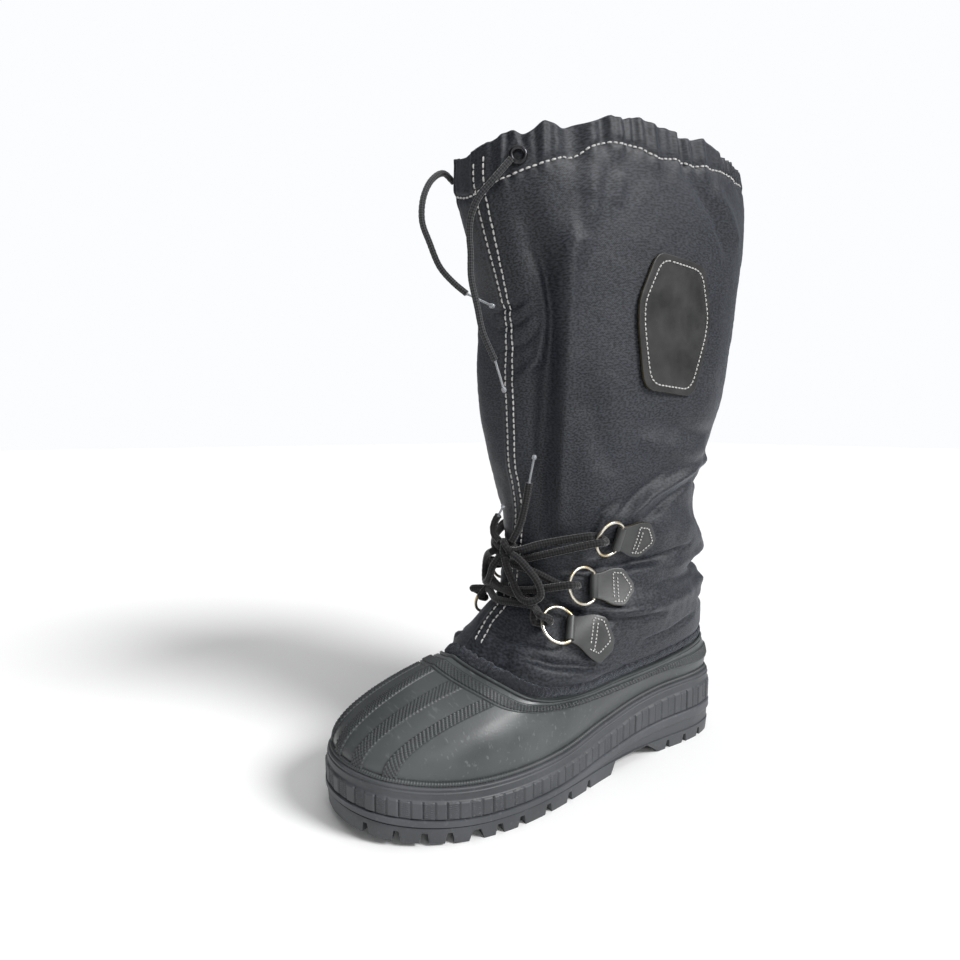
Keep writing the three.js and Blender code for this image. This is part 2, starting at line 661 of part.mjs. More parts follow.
// Woven binding round the foot of the shaft, standing on the shell's lip
function binding() {
  const turns = evenTurns(TURN);
  const head = tuckRows(turns)[2];
  const place = (turn, level) => {
    const index = Math.round(mod(turn) * TURN) % TURN;
    const exact = Math.abs(mod(turn) * TURN - index) < 1e-6;
    const foot = exact ? head[index].point : tuckRows([mod(turn)])[2][0].point;
    return foot.clone().lerp(shaftPoint(turn, FREE_LEVEL), level);
  };
  const grid = surfaceGrid(place, turns, [0.18, 0.5, 0.9]);
  const outer = grid.map((row, index) => offsetRing(row, GAP + BINDING_THICKNESS * [0.8, 1, 0.7][index]));
  const inner = [grid[2], grid[0]].map((row) => offsetRing(row, GAP));
  return bodyFromRings([...outer, ...inner], true);
}

function insole() {
  const turns = evenTurns(TURN);
  const inset = SHELL_INSET + CURVE_ROOM + SHELL_WALL + GAP * 2;
  const floor = (at) => sideLine('bandTop', at) + GAP;
  return bodyFromRings([
    soleRing(turns, inset, floor),
    soleRing(turns, inset, (at) => floor(at) + INSOLE_THICKNESS * 0.8),
    soleRing(turns, inset + 1, (at) => floor(at) + INSOLE_THICKNESS),
  ], false);
}

// Turn and level of the shaft's point at a given distance along the foot and height
function findOnShaft(y, z, side, near = null) {
  let turn = near ? near.turn : 0.5 - side * FIRST_GUESS;
  let level = near ? near.level : (z - SHELL_TOP_HEIGHT) / (SHAFT_HEIGHT - SHELL_TOP_HEIGHT);
  const small = 0.001;
  for (let pass = 0; pass < 40; pass += 1) {
    const here = shaftPoint(turn, level);
    const round = shaftPoint(turn + small, level).sub(here).divideScalar(small);
    const up = shaftPoint(turn, level + small).sub(here).divideScalar(small);
    const area = round.y * up.z - round.z * up.y;
    const dy = y - here.y;
    const dz = z - here.z;
    turn += clamp((dy * up.z - dz * up.y) / area, -0.01, 0.01);
    level += clamp((round.y * dz - round.z * dy) / area, -0.02, 0.02);
  }
  return { turn, level, side };
}

// Frame on the shaft's cloth: along points to the back of the boot before it is tilted down
function shaftFrame(spot, tilt = 0) {
  const cell = surfaceGrid(shaftPoint, [spot.turn], [spot.level])[0][0];
  const back = new THREE.Vector3(0, 1, 0).addScaledVector(cell.normal, -cell.normal.y).normalize();
  const up = cell.normal.clone().cross(back).multiplyScalar(spot.side);
  const along = back.clone().multiplyScalar(Math.cos(tilt)).addScaledVector(up, -Math.sin(tilt));
  const across = up.clone().multiplyScalar(Math.cos(tilt)).addScaledVector(back, Math.sin(tilt));
  return { origin: cell.point, normal: cell.normal, along, across, spot };
}

// Point that lies on the cloth a given way along and across from a frame, lifted off it
function overCloth(frame, along, across, lift) {
  const flat = frame.origin.clone().addScaledVector(frame.along, along).addScaledVector(frame.across, across);
  const spot = findOnShaft(flat.y, flat.z, frame.spot.side, frame.spot);
  const cell = surfaceGrid(shaftPoint, [spot.turn], [spot.level])[0][0];
  return cell.point.clone().addScaledVector(cell.normal, lift);
}

// Plate that follows the cloth: stations along it, each with its half width
function clothPlate(frame, stations, low, high) {
  const rings = stations.map(([along, half]) => [
    overCloth(frame, along, -half, low), overCloth(frame, along, 0, low), overCloth(frame, along, half, low),
    overCloth(frame, along, half, high), overCloth(frame, along, 0, high), overCloth(frame, along, -half,
    high),
  ]);
  const geometry = ringStack(rings);
  return frame.spot.side > 0 ? turnedInsideOut(geometry) : geometry;
}

// Closed body from few-sided sections, its ends filled from their first corner
function ringStack(rings) {
  const count = rings[0].length;
  const faces = [];
  for (let level = 0; level < rings.length - 1; level += 1) {
    for (let step = 0; step < count; step += 1) {
      const next = (step + 1) % count;
      const low = level * count;
      const high = low + count;
      faces.push(low + step, high + next, low + next, low + step, high + step, high + next);
    }
  }
  const last = (rings.length - 1) * count;
  for (let step = 1; step < count - 1; step += 1) {
    faces.push(0, step, step + 1);
    faces.push(last, last + step + 1, last + step);
  }
  const geometry = new THREE.BufferGeometry();
  const points = rings.flat().flatMap((point) => point.toArray());
  geometry.setAttribute('position', new THREE.Float32BufferAttribute(points, 3));
  geometry.setIndex(faces);
  geometry.computeVertexNormals();
  return geometry;
}

function turnedInsideOut(geometry) {
  const index = Array.from(geometry.index.array);
  for (let face = 0; face < index.length; face += 3) {
    [index[face], index[face + 1]] = [index[face + 1], index[face]];
  }
  geometry.setIndex(index);
  geometry.computeVertexNormals();
  return geometry;
}

// Solid tube along a curve
function tube(points, diameter, steps, sides = 8) {
  const curve = new THREE.CatmullRomCurve3(points, false, 'centripetal');
  const section = new THREE.Shape(Array.from({ length: sides }, (_, index) => {
    const angle = (index / sides) * Math.PI * 2;
    return new THREE.Vector2(Math.cos(angle), Math.sin(angle)).multiplyScalar(diameter / 2);
  }));
  return new THREE.ExtrudeGeometry(section, { steps, extrudePath: curve, bevelEnabled: false });
}

function straightRod(from, to, radius, sides = 8) {
  const length = from.distanceTo(to);
  const geometry = new THREE.CylinderGeometry(radius, radius, length, sides);
  const turn = new THREE.Quaternion().setFromUnitVectors(
    new THREE.Vector3(0, 1, 0), to.clone().sub(from).normalize());
  geometry.applyQuaternion(turn);
  geometry.translate((from.x + to.x) / 2, (from.y + to.y) / 2, (from.z + to.z) / 2);
  return geometry;
}

// Frame of a lace tab, at the bar of its ring
function tabFrame(tab, side) {
  const spot = findOnShaft(SHAFT_BACK - tab.forward * SHAFT_LENGTH, tab.height * SHAFT_HEIGHT, side);
  return shaftFrame(spot, tab.tilt);
}

function barAxis(frame, half) {
  const middle = frame.origin.clone().addScaledVector(frame.normal, CLOTH_SEAT + TAB_ROLL);
  return [-half, half].map((across) => middle.clone().addScaledVector(frame.across, across));
}

// Leather tab: a pointed plate on the cloth, rolled round the straight bar of its ring
function laceTab(frame) {
  const half = TAB_WIDTH / 2;
  const neck = RING_BAR / 2 - RING_WIRE;
  const stations = [
    [0, neck], [TAB_ROLL * 1.6, neck], [TAB_LENGTH * 0.36, half], [TAB_LENGTH * 0.74, half],
    [TAB_LENGTH, half * 0.35],
  ];
  const plate = solidOf(clothPlate(frame, stations, CLOTH_SEAT, CLOTH_SEAT + TAB_THICKNESS));
  const roll = solidOf(straightRod(...barAxis(frame, neck), TAB_ROLL, 8));
  const hole = solidOf(straightRod(...barAxis(frame, RING_BAR), RING_WIRE / 2 + GAP, 8));
  return geometryOf(plate.add(roll).subtract(hole));
}

// Point in the plane of a ring: forward of its bar, across it, and off its plane
function ringPoint(frame, forward, across, off = 0) {
  const out = frame.along.clone().multiplyScalar(-Math.cos(RING_TILT));
  out.addScaledVector(frame.normal, Math.sin(RING_TILT));
  const square = frame.normal.clone().multiplyScalar(Math.cos(RING_TILT));
  square.addScaledVector(frame.along, Math.sin(RING_TILT));
  const middle = frame.origin.clone().addScaledVector(frame.normal, CLOTH_SEAT + TAB_ROLL);
  return middle.addScaledVector(out, forward).addScaledVector(frame.across, across)
    .addScaledVector(square, off);
}

// D-ring: a straight bar closed by an arc of wire
function dRing(frame) {
  const centre = Math.sqrt(RING_RADIUS ** 2 - (RING_BAR / 2) ** 2);
  const start = Math.PI - Math.asin(RING_BAR / 2 / RING_RADIUS);
  const bends = 9;
  const path = [];
  for (let step = 0; step <= bends; step += 1) {
    const angle = lerp(start, -start, step / bends);
    path.push([centre + RING_RADIUS * Math.cos(angle), RING_RADIUS * Math.sin(angle)]);
  }
  const sides = 6;
  const middle = new THREE.Vector2(centre, 0);
  const rings = path.map(([forward, across], index) => {
    const before = new THREE.Vector2(...path[(index + path.length - 1) % path.length]);
    const after = new THREE.Vector2(...path[(index + 1) % path.length]);
    const here = new THREE.Vector2(forward, across);
    const into = here.clone().sub(before).normalize();
    const onward = after.sub(here).normalize();
    const along = into.clone().add(onward).normalize();
    const stretch = 1 / along.dot(onward);
    const out = new THREE.Vector2(along.y, -along.x).multiplyScalar(stretch);
    if (out.dot(here.clone().sub(middle)) < 0) out.negate();
    return Array.from({ length: sides }, (_, side) => {
      const angle = (side / sides) * Math.PI * 2;
      const reachOut = Math.cos(angle) * RING_WIRE / 2;
      return ringPoint(frame, forward + out.x * reachOut, across + out.y * reachOut,
        Math.sin(angle) * RING_WIRE / 2);
    });
  });
  const geometry = bodyFromRings(rings, true);
  return frame.spot.side > 0 ? geometry : turnedInsideOut(geometry);
}

// Badge patch: a rounded coffin shape lying on the cloth
function badge() {
  const forward = SHAFT_BACK - BADGE_PLACE.forward * SHAFT_LENGTH;
  const spot = findOnShaft(forward, BADGE_PLACE.height * SHAFT_HEIGHT, 1);
  const frame = shaftFrame(spot, Math.PI / 2 + BADGE_PLACE.tilt);
  const stations = BADGE_OUTLINE.map((row) => [(row.at - 0.5) * BADGE_HEIGHT, row.half * BADGE_WIDTH / 2]);
  return clothPlate(frame, stations, CLOTH_SEAT, CLOTH_SEAT + BADGE_THICKNESS);
}

// Point over the cloth at a turn and height
function overShaft(turn, z, lift) {
  const front = toplinePoint(turn).z;
  const rim = shaftBase(turn, 1).z;
  const cell = surfaceGrid(shaftPoint, [turn], [(z - front) / (rim - front)])[0][0];
  return cell.point.clone().addScaledVector(cell.normal, lift);
}

// Middle line of the lace where it hooks round the far wire of a ring, from under it to over it
function hookPoints(frame) {
  const far = Math.sqrt(RING_RADIUS ** 2 - (RING_BAR / 2) ** 2) + RING_RADIUS;
  const bend = LACE / 2 + RING_WIRE / 2 + LACE_SLACK;
  const turns = [-0.75, -0.5, -0.25, 0, 0.25, 0.5, 0.75];
  return turns.map((turn) => {
    const angle = turn * Math.PI;
    const past = Math.abs(turn) > 0.5 ? LACE * 0.7 : 0;
    const off = Math.sin(clamp(angle, -Math.PI / 2, Math.PI / 2)) * bend;
    return ringPoint(frame, far - Math.cos(angle) * bend * (past ? 0 : 1) + past, 0, off);
  });
}

// One strand of the lace over the cloth, from hook to hook, or from a hook to the knot
function strand(from, to, ends, seamHeight) {
  const lift = LACE / 2 + PLACKET_RELIEF + GAP * 3;
  const endOf = (frame, over) => {
    const points = hookPoints(frame);
    return over ? [points[5], points[6]] : [points[1], points[0]];
  };
  const corner = (frame, nearHeight) => (
    overShaft(0.5 - frame.spot.side * SEAM_CORNER, lerp(nearHeight, seamHeight, 0.6), lift + CORNER_LIFT));
  const start = endOf(from, ends[0]);
  const points = [start[0].clone().lerp(start[1], 0.85), corner(from, start[1].z)];
  if (to) {
    const end = endOf(to, ends[1]);
    points.push(overShaft(0.5, seamHeight, lift), corner(to, end[1].z), end[0].clone().lerp(end[1], 0.85));
  } else {
    points.push(new THREE.Vector3(KNOT.x + from.spot.side * (KNOT_SIZE.x + GAP * 5), KNOT.y, KNOT.z));
  }
  return solidOf(tube(points, LACE, to ? 7 : 3));
}

// Lace through the six rings: bottom bar, two crossings and the two strands up to the knot
function laceCrossings(frames) {
  const [outer, inner] = frames;
  const strands = [
    strand(outer[2], inner[2], [true, true], BAR_HEIGHT),
    strand(outer[2], inner[1], [false, true], CROSSING_HEIGHTS[0]),
    strand(inner[2], outer[1], [false, true], CROSSING_HEIGHTS[0]),
    strand(outer[1], inner[0], [false, true], CROSSING_HEIGHTS[1]),
    strand(inner[1], outer[0], [false, true], CROSSING_HEIGHTS[1]),
    strand(outer[0], null, [false], KNOT.z),
    strand(inner[0], null, [false], KNOT.z),
    ...[...outer, ...inner].map((frame) => solidOf(tube(hookPoints(frame), LACE, 6))),
  ];
  return geometryOf(strands.reduce((whole, piece) => whole.add(piece)));
}

function knot() {
  const geometry = new THREE.SphereGeometry(1, 8, 5);
  geometry.scale(KNOT_SIZE.x, KNOT_SIZE.y, KNOT_SIZE.z);
  geometry.translate(KNOT.x, KNOT.y, KNOT.z);
  return geometry;
}

function cord(route, diameter, steps) {
  return tube(route.map((point) => new THREE.Vector3(...point)), diameter, steps);
}

function aglet(route, tip, diameter) {
  const end = new THREE.Vector3(...route[route.length - 1]);
  const point = new THREE.Vector3(...tip);
  const start = end.clone().add(point.clone().sub(end).setLength(GAP * 2));
  return straightRod(start, point, diameter / 2);
}

// Grommet in the hem where the drawcord comes out
function eyelet(side) {
  const spot = findOnShaft(EYELET_PLACE.y, EYELET_PLACE.z, side);
  const frame = shaftFrame(spot);
  const profile = [
    new THREE.Vector2(EYELET_HOLE, 0), new THREE.Vector2(EYELET_RADIUS, 0),
    new THREE.Vector2(EYELET_RADIUS * 0.85, EYELET_THICKNESS),
    new THREE.Vector2(EYELET_HOLE, EYELET_THICKNESS),
    new THREE.Vector2(EYELET_HOLE, 0),
  ];
  const geometry = new THREE.LatheGeometry(profile, 12);
  const turned = new THREE.Quaternion().setFromUnitVectors(new THREE.Vector3(0, 1, 0), frame.normal);
  geometry.applyQuaternion(turned);
  const seat = frame.origin.clone().addScaledVector(frame.normal, HEM_RELIEF + EYELET_SEAT);
  geometry.translate(seat.x, seat.y, seat.z);
  return geometry;
}

const materials = {
  sole: new THREE.MeshStandardMaterial({ color: 0x3a3c3f, roughness: 0.7, metalness: 0 }),
  shell: new THREE.MeshStandardMaterial({ color: 0x25292a, roughness: 0.45, metalness: 0 }),
  nylon: new THREE.MeshStandardMaterial({ color: 0x14171f, roughness: 0.55, metalness: 0 }),
  felt: new THREE.MeshStandardMaterial({ color: 0x3b3d40, roughness: 0.95, metalness: 0 }),
  leather: new THREE.MeshStandardMaterial({ color: 0x1c1c1b, roughness: 0.5, metalness: 0 }),
  metal: new THREE.MeshStandardMaterial({ color: 0xb9ae93, roughness: 0.3, metalness: 1 }),
  eyelet: new THREE.MeshStandardMaterial({ color: 0x2c2c2e, roughness: 0.4, metalness: 0.8 }),
  aglet: new THREE.MeshStandardMaterial({ color: 0xa9abad, roughness: 0.35, metalness: 0.2 }),
  cord: new THREE.MeshStandardMaterial({ color: 0x101113, roughness: 0.8, metalness: 0 }),
};

const group = new THREE.Group();

function add(name, geometry, material) {
  const mesh = new THREE.Mesh(geometry, material);
  mesh.name = name;
  group.add(mesh);
  return mesh;
}

add('outsole', outsole(), materials.sole);
add('sidewall', sidewall(), materials.sole);
add('shell', shell(), materials.shell);
add('shaft', shaft(), materials.nylon);
add('binding', binding(), materials.nylon);
add('insole', insole(), materials.felt);
add('badge', badge(), materials.leather);
const tabFrames = [1, -1].map((side) => TABS.map((tab) => tabFrame(tab, side)));
tabFrames.forEach((frames, bank) => {
  const sideName = ['lateral', 'medial'][bank];
  frames.forEach((frame, index) => {
    add(`lace_tab_${sideName}_${index + 1}`, laceTab(frame), materials.leather);
    add(`d_ring_${sideName}_${index + 1}`, dRing(frame), materials.metal);
  });
  add(`eyelet_${sideName}`, eyelet([1, -1][bank]), materials.eyelet);
});
add('lace_crossings', laceCrossings(tabFrames), materials.cord);
add('lace_knot', knot(), materials.cord);
add('bow_loop_lateral', cord(BOW_OUTER, LACE, 9), materials.cord);
add('bow_loop_medial', cord(BOW_INNER, LACE, 8), materials.cord);
add('lace_end_lateral', cord(LACE_END_OUTER, LACE, 4), materials.cord);
add('lace_end_medial', cord(LACE_END_INNER, LACE, 4), materials.cord);
add('lace_aglet_lateral', aglet(LACE_END_OUTER, LACE_TIP_OUTER, AGLET), materials.aglet);
add('lace_aglet_medial', aglet(LACE_END_INNER, LACE_TIP_INNER, AGLET), materials.aglet);
add('drawcord_lateral', cord(DRAWCORD_OUTER, DRAWCORD, 13), materials.cord);
add('drawcord_medial', cord(DRAWCORD_INNER, DRAWCORD, 11), materials.cord);
add('drawcord_aglet_lateral', aglet(DRAWCORD_OUTER, DRAWCORD_TIP_OUTER, AGLET), materials.aglet);
add('drawcord_aglet_medial', aglet(DRAWCORD_INNER, DRAWCORD_TIP_INNER, AGLET), materials.aglet);

export default group;
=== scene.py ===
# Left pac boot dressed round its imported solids: rubber foot, nylon shaft, ring lacing, gathered drawcord hem
# Metres, +Z up. The toe points to -Y and the outer (lateral) side to +X.
import math
from functools import lru_cache

import bpy
import numpy as np
from mathutils import Matrix, Vector, noise
from mathutils.bvhtree import BVHTree


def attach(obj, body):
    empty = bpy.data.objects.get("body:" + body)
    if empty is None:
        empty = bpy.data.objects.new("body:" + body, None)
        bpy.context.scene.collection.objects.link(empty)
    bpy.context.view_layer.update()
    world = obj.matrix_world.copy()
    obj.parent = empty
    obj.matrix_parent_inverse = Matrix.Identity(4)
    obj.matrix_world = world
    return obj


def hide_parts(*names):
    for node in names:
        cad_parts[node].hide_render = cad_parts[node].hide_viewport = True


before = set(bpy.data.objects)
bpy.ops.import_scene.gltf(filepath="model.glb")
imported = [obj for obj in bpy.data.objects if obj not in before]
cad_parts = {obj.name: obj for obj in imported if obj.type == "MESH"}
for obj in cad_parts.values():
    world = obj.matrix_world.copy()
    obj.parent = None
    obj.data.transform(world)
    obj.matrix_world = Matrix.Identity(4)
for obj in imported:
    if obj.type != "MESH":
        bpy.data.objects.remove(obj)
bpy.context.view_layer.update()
MM = 0.001

# Camera at the photograph's angle
camera_data = bpy.data.cameras.new("camera")
camera_data.lens = 24.75
camera_data.sensor_width = 36
camera = bpy.data.objects.new("camera", camera_data)
bpy.context.scene.collection.objects.link(camera)
camera.location = (0.3654, -0.4183, 0.2434)
aim = Vector((-0.16937, -0.06, 0.19169)) - camera.location
camera.rotation_euler = aim.to_track_quat("-Z", "Y").to_euler()
bpy.context.scene.camera = camera
bpy.context.scene.view_settings.view_transform = "Standard"

# Driving sizes, the same as the solids'
LENGTH, WIDTH, HEEL_BACK = 320, 120, 42
LUG_DEPTH, TOE_SPRING, SPRING_START, SOLE_SIDE = 9, 8, 0.76, 54
ARCH_FRONT, ARCH_BACK, BREAST_SLANT, ARCH_SLANT = 95, 54, 17, -5
NOTCH_WIDTH, NOTCH_REACH, NOTCH_RISE = 5, 20, 6.5
SIDEWALL, SHELL_WALL, SHAFT_WALL = 3.4, 2.8, 1.8
SHELL_TOP_BACK, SHELL_TOP_LENGTH, SHELL_TOP_WIDTH, SHELL_TOP_HEIGHT = 41, 228, 104, 66
TOE_BOX, SHELL_BULGE, LEDGE_LEVEL = 47, 4, 0.15
SHAFT_HEIGHT, RIM_RISE, SHAFT_LENGTH, SHAFT_WIDTH, SHAFT_BACK = 414, 38, 258, 110, 76
SHAFT_FULLNESS, FREE_LEVEL, FOLD_DEPTH = 0.8, 0.03, 6
GAP, CURVE_ROOM, CLOTH_SEAT = 0.3, 0.7, 1.32
SHELL_INSET = 1 + SIDEWALL + GAP + CURVE_ROOM
TAB_LENGTH, TAB_THICKNESS, TAB_ROLL = 31, 2.6, 2.9
RING_RADIUS, RING_BAR, RING_WIRE, RING_TILT = 12.2, 18, 2.2, 0.26
LACE, LACE_SLACK, DRAWCORD, AGLET = 5, 1.7, 4, 3

# Routes of the cords, the same as the solids'
KNOT = Vector((3, -152, 160))
BAR_HEIGHT, CROSSING_HEIGHTS, SEAM_CORNER, CORNER_LIFT = 121, (129, 149), 0.055, 3.2
BOW_OUTER = [
    (5.2, -157, 154.5), (10, -157.5, 147), (14, -156.5, 140), (17, -155.5, 134), (23, -155.2, 129.5),
    (30, -153, 129), (34, -148.5, 133), (33, -149.5, 141), (27, -152.5, 149), (19, -155.5, 156),
    (13.5, -156.5, 158),
]
BOW_INNER = [
    (-0.4, -156.4, 155.2), (-5, -159.5, 147), (-9, -158.5, 141), (-14, -157.5, 135), (-21, -154.5, 133),
    (-26, -151.5, 138), (-25, -151.5, 146), (-18, -154.5, 153), (-8, -157.5, 157),
]
LACE_END_OUTER = [(7, -152, 165.4), (10, -150, 172), (12, -148.5, 178), (15.5, -147, 192), (18, -146, 206)]
LACE_TIP_OUTER = (22, -144.5, 225)
LACE_END_INNER = [(-4.6, -153.8, 164.2), (-11.5, -153.5, 167.5), (-13.5, -153, 172.5), (-12, -152.5, 177.5),
                  (-9, -152, 181.5)]
LACE_TIP_INNER = (-3.5, -151.5, 189)
DRAWCORD_OUTER = [
    (33.6, -173.4, 404.6), (28, -182, 393), (20, -188, 383), (13, -189, 373), (9, -187.5, 363),
    (8, -186, 353.5), (7, -185, 338), (8, -181, 320), (8, -177, 305), (8, -170, 292), (8, -167, 287),
]
DRAWCORD_TIP_OUTER = (8, -159, 266)
DRAWCORD_INNER = [
    (-33, -173.3, 410.6), (-31, -182, 414), (-27, -194, 406), (-24, -202, 392), (-21, -204.5, 376),
    (-18, -201, 363), (-15, -195, 347.5), (-11, -187.5, 338), (-6, -180, 330.5),
]
DRAWCORD_TIP_INNER = (6, -166, 321.5)

# Outline of the sole: share of the length from the heel, then shares of the width to each side
SOLE_OUTLINE = [
    (0, 0, 0), (0.045, 0.287, 0.287), (0.1, 0.352, 0.348), (0.16, 0.37, 0.362), (0.25, 0.368, 0.342),
    (0.35, 0.378, 0.318), (0.45, 0.415, 0.328), (0.55, 0.466, 0.378), (0.64, 0.5, 0.443),
    (0.72, 0.505, 0.485), (0.8, 0.474, 0.494), (0.87, 0.41, 0.463), (0.93, 0.315, 0.41),
    (0.97, 0.205, 0.325), (1, -0.055, 0.055),
]
# Lines along the sole's side: light band low and top, ribs' top, step and top edge, as shares of SOLE_SIDE
SIDE_LINES = [
    (0, 0.36, 0.48, 0.79, 0.88, 0.94), (0.25, 0.34, 0.45, 0.74, 0.84, 0.9),
    (0.45, 0.25, 0.34, 0.57, 0.68, 0.74), (0.6, 0.2, 0.27, 0.48, 0.57, 0.63),
    (1, 0.2, 0.27, 0.48, 0.57, 0.63),
]
BAND_LOW, BAND_TOP, RIB_TOP, STEP, SIDE_TOP = 1, 2, 3, 4, 5
# Notches in the sole's edge: share of the length, and width as a share of NOTCH_WIDTH
EDGE_NOTCHES = [(0.11, 0.8), (0.168, 0.8), (0.226, 0.8), (0.505, 0.8), (0.568, 0.9), (0.631, 1), (0.7, 1),
                (0.75, 1), (0.797, 1.6), (0.847, 1), (0.89, 1), (0.934, 0.9), (0.975, 0.8)]
CROSS_GROOVES = [0.08, 0.17, 0.53, 0.62, 0.71, 0.8, 0.89]
# Topline: share of its length, shares of its width to each side, share of its height
TOPLINE = [
    (0, 0, 0, 1.13), (0.06, 0.235, 0.235, 1.13), (0.18, 0.36, 0.355, 1.11), (0.35, 0.42, 0.405, 1.07),
    (0.55, 0.45, 0.425, 1.04), (0.75, 0.49, 0.465, 1.02), (0.9, 0.47, 0.47, 1.09), (0.97, 0.31, 0.37, 1.22),
    (1, -0.1, 0.1, 1.32),
]
RIM = [(0, 0.8), (0.3, 0.74), (0.6, 0.7), (0.85, 0.36), (1, 0)]
# Shaft sections: share of the height, front, back, lateral and medial
SHAFT_SECTIONS = [
    (0, 1.019, 0.136, 0.47, 0.44), (0.04, 0.961, 0.14, 0.47, 0.44), (0.083, 0.911, 0.151, 0.46, 0.43),
    (0.125, 0.872, 0.163, 0.45, 0.42), (0.2, 0.851, 0.194, 0.44, 0.41), (0.3, 0.845, 0.21, 0.44, 0.41),
    (0.4, 0.86, 0.17, 0.46, 0.43), (0.52, 0.868, 0.093, 0.48, 0.45), (0.7, 0.9, 0.043, 0.5, 0.47),
    (0.85, 0.97, 0.004, 0.51, 0.49), (0.93, 1.005, 0.004, 0.51, 0.49), (1, 1.008, 0.035, 0.5, 0.48),
]
# Main folds of the shaft: turn, share of the height, depth, half widths and slant
FOLDS = [
    (0.3, 0.13, 1, 0.09, 0.035, 0.3), (0.28, 0.22, -0.9, 0.12, 0.03, 0.35),
    (0.2, 0.27, 1, 0.1, 0.035, 0.3), (0.12, 0.16, -0.8, 0.07, 0.03, -0.2),
    (0.08, 0.22, 0.9, 0.07, 0.03, 0.2), (0.36, 0.1, 0.9, 0.06, 0.03, -0.3),
    (0.42, 0.42, -1, 0.035, 0.16, 0), (0.17, 0.5, 0.6, 0.05, 0.2, 0),
    (0.64, 0.16, 0.9, 0.08, 0.035, -0.3), (0.74, 0.25, -0.9, 0.1, 0.03, -0.3),
    (0.86, 0.2, 0.8, 0.08, 0.03, -0.2), (0.575, 0.57, 2.7, 0.055, 0.2, 0), (0.8, 0.6, 0.7, 0.06, 0.2, 0),
]
TABS = [(0.65, 0.407, 0.1), (0.722, 0.328, 0.17), (0.8, 0.263, 0.52)]
BADGE_PLACE = (0.48, 0.755, 0.08)
BADGE_THICKNESS = 2
VAMP_STRIPES = [0.425, 0.465, 0.502, 0.54]
EYELET_PLACE = (-167, 408)


def clamp(value, low=0.0, high=1.0):
    return max(low, min(high, value))


def mix(a, b, t):
    return a + (b - a) * t


def smooth(value, low, high):
    t = clamp((value - low) / (high - low))
    return t * t * (3 - 2 * t)


def reach(turn):
    return (1 - math.cos(turn * math.tau)) / 2


def side_of(turn):
    return 1 if turn % 1 <= 0.5 else -1


# Smooth curve through one column of a table
def column(rows, name, at, spread=True):
    def angle(value):
        return math.acos(1 - 2 * clamp(value)) if spread else value

    def slope(index):
        low, high = max(index - 1, 0), min(index + 1, last)
        return (rows[high][name] - rows[low][name]) / (angle(rows[high][0]) - angle(rows[low][0]))

    last = len(rows) - 1
    row = 0
    while row < last - 1 and rows[row + 1][0] < at:
        row += 1
    span = angle(rows[row + 1][0]) - angle(rows[row][0])
    t = clamp((angle(at) - angle(rows[row][0])) / span)
    a, b = rows[row][name], rows[row + 1][name]
    rise = (slope(row) * (t - 2 * t * t + t ** 3) + slope(row + 1) * (t ** 3 - t * t)) * span
    return a + (b - a) * (3 * t * t - 2 * t ** 3) + rise


@lru_cache(maxsize=None)
def sole_edge(turn):
    at = reach(turn)
    side = side_of(turn)
    half = column(SOLE_OUTLINE, 1 if side > 0 else 2, at)
    return side * half * WIDTH, HEEL_BACK - at * LENGTH


# Point of the sole's outline moved inwards, square to the outline
@lru_cache(maxsize=None)
def sole_inset(turn, inset):
    step = 0.004
    ahead = Vector(sole_edge((turn + step) % 1))
    along = (ahead - Vector(sole_edge((turn + 1 - step) % 1))).normalized()
    return Vector(sole_edge(turn)) + Vector((along.y, -along.x)) * inset


def spring(at):
    return TOE_SPRING * clamp((at - SPRING_START) / (1 - SPRING_START)) ** 2


def side_line(name, at):
    return column(SIDE_LINES, name, at, False) * SOLE_SIDE + spring(at)


@lru_cache(maxsize=None)
def topline(turn):
    at = reach(turn)
    side = side_of(turn)
    half = column(TOPLINE, 1 if side > 0 else 2, at)
    return Vector((side * half * SHELL_TOP_WIDTH, SHELL_TOP_BACK - at * SHELL_TOP_LENGTH,
                   column(TOPLINE, 3, at) * SHELL_TOP_HEIGHT))


@lru_cache(maxsize=None)
def shell_curve(turn):
    at = reach(turn)
    edge = sole_inset(turn, SHELL_INSET)
    ledge = Vector((edge.x, edge.y, side_line(SIDE_TOP, at) + GAP))
    head = topline(turn)
    toe = smooth(at, 0.5, 1)
    rise = head.z - ledge.z
    outer = sole_inset(turn, SHELL_INSET - SHELL_BULGE)
    shoulder = Vector((outer.x, outer.y, ledge.z + mix(rise * 0.4, TOE_BOX - ledge.z + 12, toe)))
    brow = head.lerp(shoulder, mix(0.35, 0.45, toe))
    brow.z = head.z - mix(rise * 0.3, 6, toe)
    return ledge, shoulder, brow, head


# Point of the rubber shell: straight up inside the sidewall, then over the foot to the topline
def shell_point(turn, level):
    turn = turn % 1
    ledge, shoulder, brow, head = shell_curve(turn)
    if level <= LEDGE_LEVEL:
        low = side_line(BAND_TOP, reach(turn)) + GAP
        return Vector((ledge.x, ledge.y, mix(low, ledge.z, level / LEDGE_LEVEL)))
    t = (level - LEDGE_LEVEL) / (1 - LEDGE_LEVEL)
    s = 1 - t
    return ledge * s ** 3 + shoulder * (3 * s * s * t) + brow * (3 * s * t * t) + head * t ** 3


@lru_cache(maxsize=None)
def shaft_row(row):
    return tuple(column(SHAFT_SECTIONS, name, row, False) for name in (1, 2, 3, 4))


@lru_cache(maxsize=None)
def shaft_turn(turn):
    at = reach(turn)
    return at, side_of(turn), abs(math.sin(turn * math.tau)) ** SHAFT_FULLNESS, \
        SHAFT_HEIGHT + RIM_RISE * column(RIM, 1, at)


